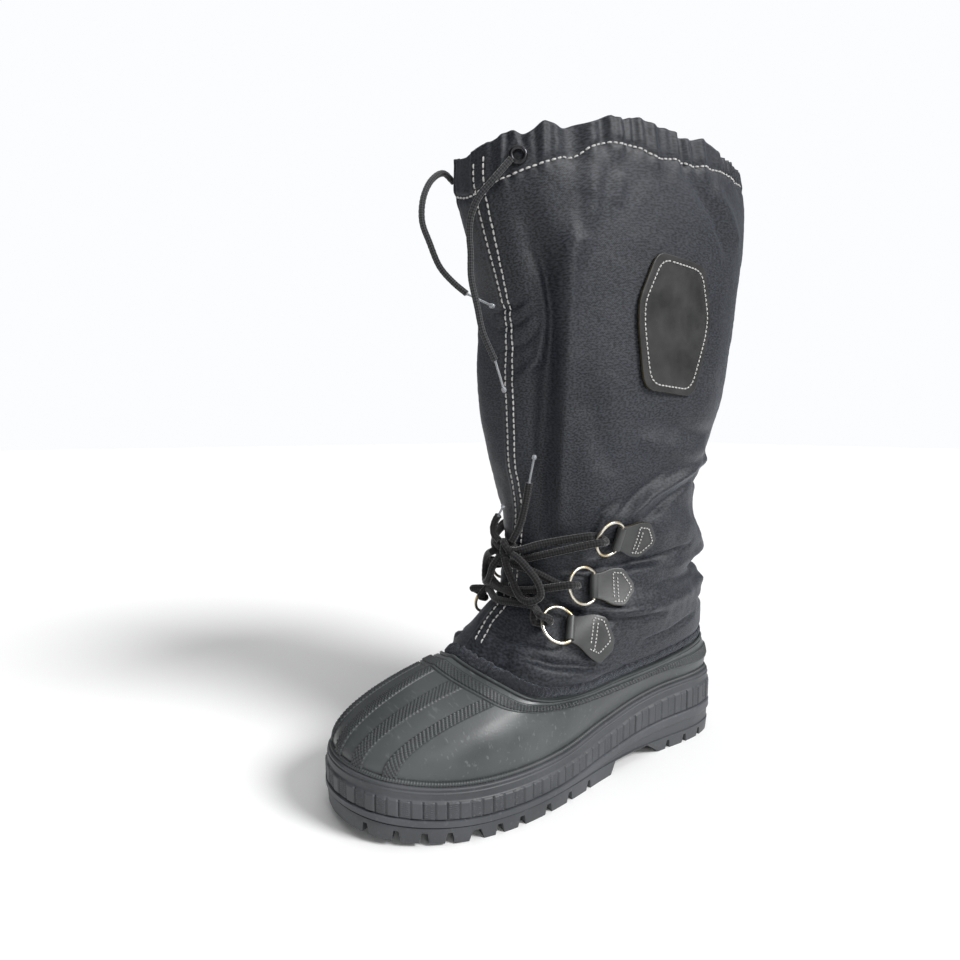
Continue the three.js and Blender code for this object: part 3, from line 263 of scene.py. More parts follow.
# Point of the shaft's cloth with its main folds; level 0 is the topline and 1 the rim
def shaft_point(turn, level):
    turn = turn % 1
    row = clamp(level)
    front, back, lateral, medial = shaft_row(row)
    at, side, full, rim = shaft_turn(turn)
    half = (lateral if side > 0 else medial) * SHAFT_WIDTH
    foot = topline(turn)
    point = Vector((
        mix(foot.x, side * half * full, smooth(row, 0, 0.16)),
        mix(foot.y, SHAFT_BACK - mix(back, front, at) * SHAFT_LENGTH, smooth(row, 0, 0.03)),
        mix(foot.z, rim, level)))
    out = 0
    for fold_turn, at_level, depth, wide, high, slant in FOLDS:
        across = (turn - fold_turn + 0.5) % 1 - 0.5
        up = level - at_level - across * slant
        out += depth * FOLD_DEPTH * math.exp(-(across / wide) ** 2 - (up / high) ** 2)
    outward = Vector((point.x, point.y - SHAFT_BACK + SHAFT_LENGTH / 2, 0)).normalized()
    return point + outward * out * smooth(level, 0.03, 0.1)


def normal_at(place, turn, level):
    small = 0.002
    across = place(turn + small, level) - place(turn - small, level)
    return (place(turn, level + small) - place(turn, level - small)).cross(across).normalized()


# Turn and level of the shaft's point at a distance along the foot and a height
def find_on_shaft(y, z, side):
    turn, level, small = 0.5 - side * 0.17, (z - SHELL_TOP_HEIGHT) / (SHAFT_HEIGHT - SHELL_TOP_HEIGHT), 0.001
    for _ in range(40):
        here = shaft_point(turn, level)
        across = (shaft_point(turn + small, level) - here) / small
        up = (shaft_point(turn, level + small) - here) / small
        area = across.y * up.z - across.z * up.y
        dy, dz = y - here.y, z - here.z
        turn += clamp((dy * up.z - dz * up.y) / area, -0.01, 0.01)
        level += clamp((across.y * dz - across.z * dy) / area, -0.02, 0.02)
    return turn, level


# Place on the shaft: its point, its normal, along towards the back tilted down, and across
class ClothPlace:
    def __init__(self, y, z, side, tilt=0.0):
        self.turn, self.level = find_on_shaft(y, z, side)
        self.side = side
        self.origin = shaft_point(self.turn, self.level)
        self.normal = normal_at(shaft_point, self.turn, self.level)
        back = (Vector((0, 1, 0)) - self.normal * self.normal.y).normalized()
        up = self.normal.cross(back) * side
        self.along = back * math.cos(tilt) - up * math.sin(tilt)
        self.across = up * math.cos(tilt) + back * math.sin(tilt)

    def ring_point(self, forward, across, off=0.0):
        out = self.normal * math.sin(RING_TILT) - self.along * math.cos(RING_TILT)
        square = self.normal * math.cos(RING_TILT) + self.along * math.sin(RING_TILT)
        middle = self.origin + self.normal * (CLOTH_SEAT + TAB_ROLL)
        return middle + out * forward + self.across * across + square * off


tab_places = {side: [ClothPlace(SHAFT_BACK - forward * SHAFT_LENGTH, height * SHAFT_HEIGHT, side, tilt)
                     for forward, height, tilt in TABS] for side in (1, -1)}
badge_place = ClothPlace(SHAFT_BACK - BADGE_PLACE[0] * SHAFT_LENGTH, BADGE_PLACE[1] * SHAFT_HEIGHT, 1,
                         math.pi / 2 + BADGE_PLACE[2])
eyelet_places = {side: ClothPlace(*EYELET_PLACE, side) for side in (1, -1)}


# Making pieces
def deselect():
    if bpy.context.object and bpy.context.object.mode != "OBJECT":
        bpy.ops.object.mode_set(mode="OBJECT")
    bpy.ops.object.select_all(action="DESELECT")


def only(piece):
    deselect()
    piece.select_set(True)
    bpy.context.view_layer.objects.active = piece


def edit_all(piece):
    only(piece)
    bpy.ops.object.mode_set(mode="EDIT")
    bpy.ops.mesh.select_all(action="SELECT")


def done_editing():
    bpy.ops.object.mode_set(mode="OBJECT")


def add_modifier(piece, kind, **values):
    only(piece)
    modifier = piece.modifiers.new(kind.lower(), kind)
    for name, value in values.items():
        setattr(modifier, name, value)
    bpy.ops.object.modifier_apply(modifier=modifier.name)


def soften(piece, degrees=40):
    only(piece)
    bpy.ops.object.shade_smooth_by_angle(angle=math.radians(degrees))


# Grid whose points are moved to place(u, v) in mm; round_u and round_v join its opposite edges
def grid(name, columns, rows, place, round_u=True, round_v=False):
    deselect()
    bpy.ops.mesh.primitive_grid_add(x_subdivisions=columns, y_subdivisions=rows, size=2)
    piece = bpy.context.object
    piece.name = piece.data.name = name
    for vertex in piece.data.vertices:
        u, v = (vertex.co.x + 1) / 2, (vertex.co.y + 1) / 2
        vertex.co = place(u % 1 if round_u else u, v % 1 if round_v else v) * MM
    if round_u or round_v:
        edit_all(piece)
        bpy.ops.mesh.remove_doubles(threshold=1e-6)
        done_editing()
    return piece


# Closed loop edges of an open tube or wall, filled
def close_ends(piece):
    only(piece)
    bpy.ops.object.mode_set(mode="EDIT")
    bpy.ops.mesh.select_all(action="DESELECT")
    bpy.ops.mesh.select_mode(type="VERT")
    bpy.ops.mesh.select_non_manifold(extend=False)
    bpy.ops.mesh.fill_holes(sides=0)
    done_editing()


def outwards(piece):
    edit_all(piece)
    bpy.ops.mesh.normals_make_consistent(inside=False)
    done_editing()


def tree_of(piece):
    corners = [vertex.co.copy() for vertex in piece.data.vertices]
    return BVHTree.FromPolygons(corners, [list(face.vertices) for face in piece.data.polygons])


# Even points along a smooth curve through the given ones, in mm
def curve_through(points, step):
    points = [Vector(p) for p in points]
    ends = [points[0] * 2 - points[1], *points, points[-1] * 2 - points[-2]]
    fine = []
    for i in range(1, len(ends) - 2):
        p0, p1, p2, p3 = ends[i - 1:i + 3]
        knots = [0.0]
        for a, b in ((p0, p1), (p1, p2), (p2, p3)):
            knots.append(knots[-1] + max((b - a).length, 1e-6) ** 0.5)
        t0, t1, t2, t3 = knots
        for k in range(16):
            t = mix(t1, t2, k / 16)
            a1 = p0.lerp(p1, (t - t0) / (t1 - t0))
            a2 = p1.lerp(p2, (t - t1) / (t2 - t1))
            a3 = p2.lerp(p3, (t - t2) / (t3 - t2))
            b1 = a1.lerp(a2, (t - t0) / (t2 - t0))
            b2 = a2.lerp(a3, (t - t1) / (t3 - t1))
            fine.append(b1.lerp(b2, (t - t1) / (t2 - t1)))
    fine.append(points[-1])
    lengths = [0.0]
    for a, b in zip(fine, fine[1:]):
        lengths.append(lengths[-1] + (b - a).length)
    count = max(2, round(lengths[-1] / step))
    even, at = [], 0
    for k in range(count + 1):
        want = lengths[-1] * k / count
        while at < len(fine) - 2 and lengths[at + 1] < want:
            at += 1
        span = lengths[at + 1] - lengths[at]
        even.append(fine[at].lerp(fine[at + 1], clamp((want - lengths[at]) / span)))
    return even


def length_of(points):
    return sum((b - a).length for a, b in zip(points, points[1:]))


BRAID_PITCH, BRAID_STRANDS, BRAID_SIDES, BRAID_STEP = 3.4, 4, 24, 0.55


# Round tube along even points; its UV runs along it in real length and round it once
def tube(name, points, radius, sides=14, closed=False, strands=0):
    count = len(points) if closed else len(points) - 1
    tangents = []
    for i in range(count + (0 if closed else 1)):
        after = points[(i + 1) % len(points)] if closed else points[min(i + 1, count)]
        before = points[i - 1] if closed else points[max(i - 1, 0)]
        tangents.append((after - before).normalized())
    total = length_of(points)
    side = tangents[0].orthogonal().normalized()
    sides_at = []
    for tangent in tangents:
        side = (side - tangent * side.dot(tangent)).normalized()
        sides_at.append(side)
    if closed:
        twist = math.copysign(sides_at[0].angle(side), side.cross(sides_at[0]).dot(tangents[0]))
        sides_at = [s.copy() for s in sides_at]
        for i, s in enumerate(sides_at):
            s.rotate(Matrix.Rotation(twist * i / count, 3, tangents[i]))

    def place(u, v):
        index = round(u * count) % len(points) if closed else round(u * count)
        width = radius(u) if callable(radius) else radius
        if strands:
            run = u * total / BRAID_PITCH * math.tau
            turn = v * strands * math.tau
            width *= 0.95 + 0.1 * abs(math.cos((run + turn) / 2) * math.cos((run - turn) / 2)) ** 0.5
        across = sides_at[index]
        other = tangents[index].cross(across)
        return points[index] + (across * math.cos(v * math.tau) + other * math.sin(v * math.tau)) * width

    piece = grid(name, count, sides, place, round_u=closed, round_v=True)
    if not closed:
        close_ends(piece)
    outwards(piece)
    scale_uv(piece, length_of(points) * MM, 1)
    soften(piece, 60)
    return piece


def scale_uv(piece, along, across):
    layer = piece.data.uv_layers.active.data
    for loop in layer:
        loop.uv = (loop.uv[0] * along, loop.uv[1] * across)


def finish_piece(piece, material, slot, *nodes):
    piece.data.materials.clear()
    piece.data.materials.append(material)
    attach(piece, "root")
    if nodes:
        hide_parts(*nodes)
    return piece


# Materials
def tree_in(owner):
    owner.use_nodes = True
    return owner.node_tree


def add_node(tree, kind, inputs=None, **values):
    made = tree.nodes.new(kind)
    for name, value in values.items():
        setattr(made, name, value)
    for name, value in (inputs or {}).items():
        if isinstance(value, bpy.types.NodeSocket):
            tree.links.new(value, made.inputs[name])
        else:
            made.inputs[name].default_value = value
    return made


def calc(tree, operation, a, b=0.0, c=0.0):
    return add_node(tree, "ShaderNodeMath", {0: a, 1: b, 2: c}, operation=operation).outputs[0]


def blend_colour(tree, factor, a, b):
    made = add_node(tree, "ShaderNodeMix", data_type="RGBA")
    for socket, value in ((0, factor), (6, a), (7, b)):
        if isinstance(value, bpy.types.NodeSocket):
            tree.links.new(value, made.inputs[socket])
        else:
            made.inputs[socket].default_value = (*value, 1) if isinstance(value, tuple) else value
    return made.outputs[2]


def remap(tree, value, low, high, new_low=0.0, new_high=1.0):
    ends = {0: value, 1: low, 2: high, 3: new_low, 4: new_high}
    return add_node(tree, "ShaderNodeMapRange", ends).outputs[0]


def cloudy(tree, place, scale, detail=3.0):
    inputs = {"Vector": place, "Scale": scale, "Detail": detail}
    return add_node(tree, "ShaderNodeTexNoise", inputs).outputs[0]


def new_group(name, ins, outs):
    group = bpy.data.node_groups.new(name, "ShaderNodeTree")
    for socket, kind, value in ins:
        made = group.interface.new_socket(socket, in_out="INPUT", socket_type=kind)
        if value is not None:
            made.default_value = value
    for socket in outs:
        group.interface.new_socket(socket, in_out="OUTPUT", socket_type="NodeSocketFloat")
    return group, group.nodes.new("NodeGroupInput").outputs, group.nodes.new("NodeGroupOutput").inputs


# Grain of moulded rubber or leather: fine height, cloudy tone, and sparse scuffs
def grain_group():
    group, ins, outs = new_group(
        "moulded_grain", [("Place", "NodeSocketVector", None), ("Fine", "NodeSocketFloat", 900.0),
                          ("Cloud", "NodeSocketFloat", 22.0)], ["Height", "Tone", "Scuff"])
    turned = add_node(group, "ShaderNodeMapping", {"Vector": ins["Place"], "Rotation": (0.4, 0.3, 0.5),
                                                   "Scale": (60.0, 420.0, 300.0)})
    marks = cloudy(group, turned.outputs[0], 1.0, 2.0)
    group.links.new(cloudy(group, ins["Place"], ins["Fine"]), outs["Height"])
    group.links.new(cloudy(group, ins["Place"], ins["Cloud"], 5.0), outs["Tone"])
    group.links.new(remap(group, marks, 0.62, 0.75), outs["Scuff"])
    return group


# Plain weave on a map in metres: threads' height and an uneven tone along them
def weave_group():
    group, ins, outs = new_group(
        "plain_weave", [("Map", "NodeSocketVector", None), ("Pitch", "NodeSocketFloat", 0.0012)],
        ["Height", "Tone"])
    split = add_node(group, "ShaderNodeSeparateXYZ", {0: ins["Map"]})
    turns = calc(group, "DIVIDE", math.tau, ins["Pitch"])
    threads = [calc(group, "SINE", calc(group, "MULTIPLY", split.outputs[way], turns)) for way in (0, 1)]
    height = calc(group, "MULTIPLY", *threads)
    flecks = add_node(group, "ShaderNodeMapping", {"Vector": ins["Map"], "Scale": (480.0, 900.0, 1.0)})
    group.links.new(calc(group, "MULTIPLY_ADD", height, 0.5, 0.5), outs["Height"])
    group.links.new(cloudy(group, flecks.outputs[0], 1.0, 2.0), outs["Tone"])
    return group


GRAIN, WEAVE = grain_group(), weave_group()


def use_group(tree, group, inputs):
    made = tree.nodes.new("ShaderNodeGroup")
    made.node_tree = group
    for name, value in inputs.items():
        if isinstance(value, bpy.types.NodeSocket):
            tree.links.new(value, made.inputs[name])
        else:
            made.inputs[name].default_value = value
    return made.outputs


# Material with its shader: constants go on the shader's own sockets
def new_material(name, constants):
    material = bpy.data.materials.new(name)
    tree = tree_in(material)
    shader = tree.nodes["Principled BSDF"]
    for socket, value in constants.items():
        shader.inputs[socket].default_value = value
    return material, tree, shader


def wire(tree, shader, colour, roughness, height=None, distance=0.0002, strength=0.6):
    tree.links.new(colour, shader.inputs["Base Color"])
    tree.links.new(roughness, shader.inputs["Roughness"])
    if height is not None:
        relief = {"Height": height, "Distance": distance, "Strength": strength}
        tree.links.new(add_node(tree, "ShaderNodeBump", relief).outputs[0], shader.inputs["Normal"])


def rubber(name, dark, light, rough, scuff=0.5, fine=900.0):
    material, tree, shader = new_material(name, {"Specular IOR Level": 0.45})
    place = add_node(tree, "ShaderNodeTexCoord").outputs["Object"]
    grain = use_group(tree, GRAIN, {"Place": place, "Fine": fine})
    tone = remap(tree, grain["Tone"], 0.3, 0.7)
    colour = blend_colour(tree, tone, dark, light)
    worn = blend_colour(tree, calc(tree, "MULTIPLY", grain["Scuff"], scuff), colour,
                        tuple(v * 1.8 for v in light))
    roughness = calc(tree, "ADD", remap(tree, grain["Tone"], 0.3, 0.7, rough - 0.07, rough + 0.07),
                     calc(tree, "MULTIPLY", grain["Scuff"], 0.2 * scuff))
    wire(tree, shader, worn, roughness, grain["Height"], 0.0001, 0.5)
    return material


def cloth(name, dark, light, pitch, sheen, rough=0.6, depth=0.00015):
    material, tree, shader = new_material(name, {"Sheen Weight": sheen, "Sheen Roughness": 0.35,
                                                 "Sheen Tint": (0.8, 0.87, 1, 1), "Specular IOR Level": 0.35})
    where = add_node(tree, "ShaderNodeTexCoord").outputs
    woven = use_group(tree, WEAVE, {"Map": where["UV"], "Pitch": pitch})
    grain = use_group(tree, GRAIN, {"Place": where["Object"], "Fine": 1400.0, "Cloud": 14.0})
    tone = calc(tree, "ADD", calc(tree, "MULTIPLY", remap(tree, woven["Tone"], 0.4, 0.6), 0.75),
                calc(tree, "MULTIPLY", remap(tree, grain["Tone"], 0.3, 0.7), 0.25))
    colour = blend_colour(tree, tone, dark, light)
    height = calc(tree, "ADD", woven["Height"], calc(tree, "MULTIPLY", woven["Tone"], 1.5))
    roughness = remap(tree, grain["Tone"], 0.3, 0.7, rough - 0.06, rough + 0.06)
    wire(tree, shader, colour, roughness, height, depth, 0.6)
    return material


# Braided cord whose colour carries painted light: the strands' crowns get a painted highlight and the grooves
# between them painted shade
def braid_with_painted_shade(name, dark, light, along, around):
    material, tree, shader = new_material(name, {"Sheen Weight": 0.3, "Sheen Roughness": 0.4,
                                                 "Specular IOR Level": 0.3})
    where = add_node(tree, "ShaderNodeTexCoord").outputs
    split = add_node(tree, "ShaderNodeSeparateXYZ", {0: where["UV"]})
    run = calc(tree, "MULTIPLY", split.outputs[0], along)
    around_it = calc(tree, "MULTIPLY", split.outputs[1], around)
    strands = [calc(tree, "SINE", calc(tree, "MULTIPLY", calc(tree, kind, run, around_it), math.tau))
               for kind in ("ADD", "SUBTRACT")]
    height = calc(tree, "MULTIPLY_ADD", calc(tree, "MULTIPLY", *strands), 0.5, 0.5)
    fuzz = cloudy(tree, where["Object"], 1800.0)
    # Painted highlight on the strands' crowns and painted shade in their grooves, set by the strand height
    colour = blend_colour(tree, height, dark, light)
    rough = remap(tree, fuzz, 0.3, 0.7, 0.7, 0.9)
    wire(tree, shader, colour, rough, calc(tree, "MULTIPLY_ADD", fuzz, 0.4, height), 0.0004, 0.8)
    return material


def leather(name, dark, light):
    material, tree, shader = new_material(name, {"Specular IOR Level": 0.5})
    place = add_node(tree, "ShaderNodeTexCoord").outputs["Object"]
    grain = use_group(tree, GRAIN, {"Place": place, "Fine": 500.0, "Cloud": 60.0})
    cells = add_node(tree, "ShaderNodeTexVoronoi", {"Vector": place, "Scale": 900.0},
                     feature="DISTANCE_TO_EDGE")
    tone = remap(tree, grain["Tone"], 0.3, 0.7)
    colour = blend_colour(tree, tone, dark, light)
    height = calc(tree, "ADD", cells.outputs[0], calc(tree, "MULTIPLY", grain["Height"], 0.4))
    wire(tree, shader, colour, remap(tree, grain["Tone"], 0.3, 0.7, 0.36, 0.5), height, 0.0002, 0.35)
    return material


def metal(name, bright, worn):
    material, tree, shader = new_material(name, {})
    place = add_node(tree, "ShaderNodeTexCoord").outputs["Object"]
    grain = use_group(tree, GRAIN, {"Place": place, "Fine": 2500.0, "Cloud": 160.0})
    patches = remap(tree, grain["Tone"], 0.45, 0.62)
    wire(tree, shader, blend_colour(tree, patches, bright, worn),
         remap(tree, grain["Tone"], 0.3, 0.7, 0.22, 0.42), grain["Height"], 0.00004, 0.4)
    shader.inputs["Metallic"].default_value = 1
    return material


SHELL_RUBBER = rubber("shell_rubber", (0.044, 0.049, 0.050), (0.078, 0.085, 0.086), 0.4, 0.6)
KNURL_RUBBER = rubber("knurled_rubber", (0.030, 0.034, 0.035), (0.058, 0.063, 0.065), 0.46, 0.3)
SOLE_RUBBER = rubber("sole_rubber", (0.034, 0.037, 0.041), (0.062, 0.066, 0.072), 0.5, 0.4)
BAND_RUBBER = rubber("band_rubber", (0.042, 0.045, 0.051), (0.068, 0.072, 0.081), 0.48, 0.5)
NYLON = cloth("shaft_nylon", (0.0012, 0.0015, 0.0025), (0.034, 0.038, 0.048), 0.0011, 0.14, 0.5)
BINDING_TAPE = cloth("binding_tape", (0.004, 0.0045, 0.006), (0.034, 0.037, 0.045), 0.0022, 0.25, 0.85,
                     depth=0.0006)
FELT = cloth("insole_felt", (0.03, 0.031, 0.033), (0.06, 0.061, 0.064), 0.002, 0.2, 0.9)
LEATHER = leather("leather", (0.026, 0.027, 0.027), (0.056, 0.057, 0.057))
PATCH_LEATHER = leather("patch_leather", (0.012, 0.012, 0.012), (0.026, 0.026, 0.026))
CUT_EDGE = leather("leather_edge", (0.03, 0.026, 0.013), (0.06, 0.052, 0.028))
RING_METAL = metal("ring_metal", (0.72, 0.68, 0.58), (0.52, 0.40, 0.22))
EYELET_METAL = metal("eyelet_metal", (0.05, 0.05, 0.055), (0.02, 0.02, 0.02))
# Cords and thread: their dark and light tones are painted shade in the braid's grooves and a painted highlight
# on its crowns
LACE_CORD = braid_with_painted_shade("lace_cord", (0.001, 0.001, 0.0015), (0.028, 0.028, 0.030), 294.0, 4.0)
DRAW_CORD = braid_with_painted_shade("draw_cord", (0.004, 0.004, 0.0045), (0.06, 0.062, 0.065), 294.0, 4.0)
THREAD = braid_with_painted_shade("white_thread", (0.7, 0.69, 0.66), (0.95, 0.94, 0.91), 1500.0, 2.0)
CLEAR_TIP = new_material("clear_tip", {"Base Color": (0.5, 0.52, 0.55, 1), "Roughness": 0.2,
                                       "Transmission Weight": 0.6, "IOR": 1.45})[0]


# Cords
# Clear tip: slim along the cord, with a round blob at its end
def cord_tip(name, start, end, node):
    def radius(u):
        collar = 0.6 * (1 - smooth(u, 0, 0.12))
        blob = 0.62 * math.sqrt(max(0.0, 1 - ((u - 0.91) / 0.08) ** 2))
        return AGLET / 2 * (0.5 + collar + blob)

    line = curve_through([start.lerp(end, -0.05), start.lerp(end, 0.5), end], 0.5)
    return finish_piece(tube(name, line, radius, 16), CLEAR_TIP, "aglet", node)


def cord_piece(name, route, tip, diameter, material, node, tip_node):
    line = curve_through(route, BRAID_STEP)
    piece = tube(name, line, diameter / 2, BRAID_SIDES, strands=BRAID_STRANDS)
    finish_piece(piece, material, "cord", node)
    if tip:
        cord_tip(name + "_tip", Vector(route[-1]), Vector(tip), tip_node)
    return piece


cord_piece("drawcord_outer", DRAWCORD_OUTER, DRAWCORD_TIP_OUTER, DRAWCORD, DRAW_CORD, "drawcord_lateral",
           "drawcord_aglet_lateral")
cord_piece("drawcord_inner", DRAWCORD_INNER, DRAWCORD_TIP_INNER, DRAWCORD, DRAW_CORD, "drawcord_medial",
           "drawcord_aglet_medial")
cord_piece("bow_outer", BOW_OUTER, None, LACE, LACE_CORD, "bow_loop_lateral", None)
cord_piece("bow_inner", BOW_INNER, None, LACE, LACE_CORD, "bow_loop_medial", None)
cord_piece("lace_end_outer", LACE_END_OUTER, LACE_TIP_OUTER, LACE, LACE_CORD, "lace_end_lateral",
           "lace_aglet_lateral")


# Shaft
# Drawn folds: points as turn and share of the height, half width in mm, height in mm
FOLD_LINES = [
    ([(0.3956, 0.2112), (0.3222, 0.215), (0.2434, 0.2108), (0.168, 0.2244)], 2.2, -2.6),
    ([(0.3384, 0.2019), (0.2571, 0.1931), (0.1333, 0.1866)], 4.5, 1.9),
    ([(0.2657, 0.1612), (0.2087, 0.1636), (0.1211, 0.1527)], 1.8, -1.6),
    ([(0.422, 0.1465), (0.3738, 0.1397), (0.3215, 0.1261), (0.2771, 0.1133), (0.232, 0.1075)], 2.2, -2.6),
    ([(0.3997, 0.1431), (0.3499, 0.1315), (0.3057, 0.1105), (0.2695, 0.092)], 1.5, -1.4),
    ([(0.3357, 0.1397), (0.2436, 0.1252), (0.1482, 0.122)], 4, 1.8),
    ([(0.2544, 0.0568), (0.2023, 0.0592), (0.1416, 0.0704)], 2.2, -1.8),
    ([(0.4575, 0.033), (0.4144, 0.0505), (0.3681, 0.0511), (0.3323, 0.044), (0.3003, 0.036)], 1.7, -2.6),
    ([(0.45, 0.031), (0.4319, 0.034), (0.3803, 0.038), (0.3084, 0.031)], 5, 3.0),
    ([(0.4856, 0.0535), (0.4544, 0.0604), (0.415, 0.0822)], 2, -1.5),
    ([(0.4597, 0.0421), (0.4318, 0.0557), (0.3886, 0.0661)], 4, 1.3),
    ([(0.2947, 0.3016), (0.2574, 0.3369), (0.1973, 0.3692), (0.15, 0.385)], 3.4, 2.8),
    ([(0.2674, 0.2999), (0.221, 0.3259), (0.1692, 0.3527)], 2.6, -1.8),
    ([(0.3081, 0.3193), (0.2712, 0.354), (0.2264, 0.388)], 3, -1.4),
    ([(0.3607, 0.2628), (0.3529, 0.2921), (0.3371, 0.3247), (0.3089, 0.3416)], 2.6, -1.8),
    ([(0.4204, 0.8863), (0.4142, 0.8277), (0.4119, 0.7687), (0.4154, 0.6996), (0.422, 0.6276),
      (0.4322, 0.5525),
      (0.4411, 0.4745), (0.4453, 0.3749), (0.4495, 0.2728)], 9, -5.5),
    ([(0.3323, 0.9278), (0.3535, 0.8511), (0.382, 0.7733), (0.395, 0.6985), (0.402, 0.6095), (0.408, 0.5165),
      (0.411, 0.4208), (0.413, 0.3229), (0.416, 0.2626)], 8, 3.4),
    ([(0.5001, 0.7126), (0.4705, 0.7147), (0.4447, 0.7275)], 2.2, -1.4),
    ([(0.5005, 0.6771), (0.4665, 0.6837), (0.4394, 0.7014)], 2.2, -1.5),
    ([(0.4973, 0.636), (0.4682, 0.6401), (0.4407, 0.6649)], 2.4, -1.3),
    ([(0.4783, 0.5729), (0.4426, 0.609), (0.4247, 0.6822), (0.4212, 0.7698)], 3.6, 2.4),
    ([(0.2881, 0.4476), (0.2137, 0.4176), (0.14, 0.41)], 6, 1.8),
    ([(0.2702, 0.482), (0.2048, 0.4556), (0.13, 0.45)], 5, -1.4),
    ([(0.1944, 0.9287), (0.1637, 0.8853), (0.1258, 0.8284)], 7, 1.6),
    ([(0.23, 0.93), (0.19, 0.87), (0.16, 0.80)], 6, -1.6),
    ([(0.3492, 0.8904), (0.3572, 0.8566), (0.3609, 0.8117)], 6, -1.6),
    ([(0.31, 0.915), (0.32, 0.86)], 5, 1.0),
    ([(0.27, 0.66), (0.25, 0.58), (0.23, 0.5)], 12, 1.6),
    ([(0.37, 0.55), (0.35, 0.46), (0.32, 0.39)], 9, -1.2),
    ([(0.35, 0.245), (0.33, 0.26), (0.29, 0.25)], 2.4, -1.2),
    ([(0.14, 0.20), (0.05, 0.205), (-0.05, 0.19)], 4, 2.4),
    ([(0.13, 0.17), (0.04, 0.165), (-0.04, 0.15)], 2.6, -2.2),
    ([(0.12, 0.13), (0.03, 0.12), (-0.06, 0.125)], 4, 1.8),
    ([(0.12, 0.09), (0.04, 0.085), (-0.03, 0.09)], 2.4, -1.8),
    ([(0.15, 0.385), (0.06, 0.395), (-0.02, 0.37)], 4, 2.4),
    ([(0.14, 0.345), (0.05, 0.35), (-0.03, 0.33)], 3, -2.2),
    ([(0.1, 0.47), (0.03, 0.43), (-0.04, 0.44)], 4, -1.5),
    ([(0.05, 0.9), (0.045, 0.75), (0.06, 0.6)], 8, 1.6),
    ([(-0.05, 0.92), (-0.06, 0.8), (-0.045, 0.62)], 8, -2.0),
    ([(0.612, 0.213), (0.68, 0.218), (0.76, 0.212), (0.84, 0.226)], 2.3, -2.4),
    ([(0.66, 0.204), (0.745, 0.192), (0.87, 0.19)], 4.6, 1.8),
    ([(0.735, 0.16), (0.8, 0.165), (0.88, 0.15)], 1.9, -1.5),
    ([(0.58, 0.148), (0.63, 0.14), (0.69, 0.127), (0.75, 0.112)], 2.3, -2.4),
    ([(0.66, 0.138), (0.75, 0.127), (0.85, 0.123)], 4.2, 1.7),
    ([(0.745, 0.057), (0.8, 0.061), (0.87, 0.072)], 2.2, -1.7),
    ([(0.545, 0.034), (0.59, 0.05), (0.635, 0.05), (0.69, 0.038)], 1.8, -2.4),
    ([(0.55, 0.031), (0.6, 0.037), (0.69, 0.031)], 5, 2.6),
    ([(0.7, 0.305), (0.745, 0.335), (0.81, 0.37)], 3.5, 2.4),
    ([(0.735, 0.3), (0.79, 0.325), (0.84, 0.35)], 2.7, -1.6),
    ([(0.65, 0.92), (0.63, 0.8), (0.61, 0.65), (0.6, 0.5), (0.59, 0.3)], 9, 2.6),
    ([(0.71, 0.48), (0.79, 0.455), (0.87, 0.45)], 5, -1.5),
    ([(0.73, 0.66), (0.75, 0.58), (0.77, 0.5)], 12, 1.5),
    ([(0.82, 0.92), (0.85, 0.86), (0.87, 0.8)], 7, 1.6),
]
FOLD_STRENGTH = 1.7
HALF_GIRTH = [(0, 114), (0.04, 106), (0.083, 98), (0.125, 91), (0.2, 85), (0.3, 82), (0.4, 89), (0.52, 100),
              (0.7, 110), (0.85, 125), (1, 125)]
# Hem stitches, as turn and share of the height
HEM_LINE = [
    (0, 0.962), (0.12, 0.966), (0.16, 0.9645), (0.2, 0.959), (0.223, 0.949), (0.25, 0.951),
    (0.268, 0.943), (0.29, 0.957), (0.324, 0.964), (0.357, 0.949), (0.39, 0.94), (0.433, 0.928),
    (0.485, 0.9225), (0.517, 0.927), (0.6, 0.942), (0.68, 0.958), (0.75, 0.95), (0.85, 0.963), (1, 0.962),
]
# The front seam's two rows: share of the height, turn of each row
SEAM_ROWS = [
    (0, 0.486, 0.479), (0.04, 0.4955, 0.487), (0.07, 0.5, 0.4915), (0.1, 0.501, 0.4905),
    (0.3, 0.5015, 0.4895), (0.4, 0.503, 0.493), (0.5, 0.501, 0.492), (0.6, 0.499, 0.488),
    (0.7, 0.4905, 0.482), (0.83, 0.4875, 0.473), (0.9, 0.486, 0.469), (1, 0.4845, 0.4665),
]
HALF_WIDTH = 50


def profile_at(rows, v, name=1):
    for before, after in zip(rows, rows[1:]):
        if v <= after[0]:
            return mix(before[name], after[name], clamp((v - before[0]) / (after[0] - before[0])))
    return rows[-1][name]


def hem_level(turn):
    return profile_at(HEM_LINE, turn % 1)


# Height of the drawn folds at many places of the cloth at once
def fold_heights(turns, levels):
    half = np.interp(levels, [a for a, _ in HALF_GIRTH], [b for _, b in HALF_GIRTH])
    angle = turns * math.tau
    speed = math.tau * np.sqrt((half * np.sin(angle)) ** 2 + (HALF_WIDTH * np.cos(angle)) ** 2)
    tall = SHAFT_HEIGHT - SHELL_TOP_HEIGHT
    heights = np.zeros_like(turns)
    for points, width, depth in FOLD_LINES:
        nearest = np.full_like(turns, 1e9)
        place = np.zeros_like(turns)
        for index, ((turn_a, level_a), (turn_b, level_b)) in enumerate(zip(points, points[1:])):
            ax = ((turns - turn_a + 0.5) % 1 - 0.5) * speed
            ay = (levels - level_a) * tall
            bx, by = (turn_b - turn_a) * speed, (level_b - level_a) * tall
            share = np.clip((ax * bx + ay * by) / (bx * bx + by * by), 0, 1)
            away = np.hypot(ax - bx * share, ay - by * share)
            closer = away < nearest
            nearest = np.where(closer, away, nearest)
            place = np.where(closer, (index + share) / (len(points) - 1), place)
        fade = 1 - 0.75 * np.abs(2 * place - 1) ** 4
        heights += FOLD_STRENGTH * depth * fade * np.exp(-(nearest / width) ** 2)
    return heights


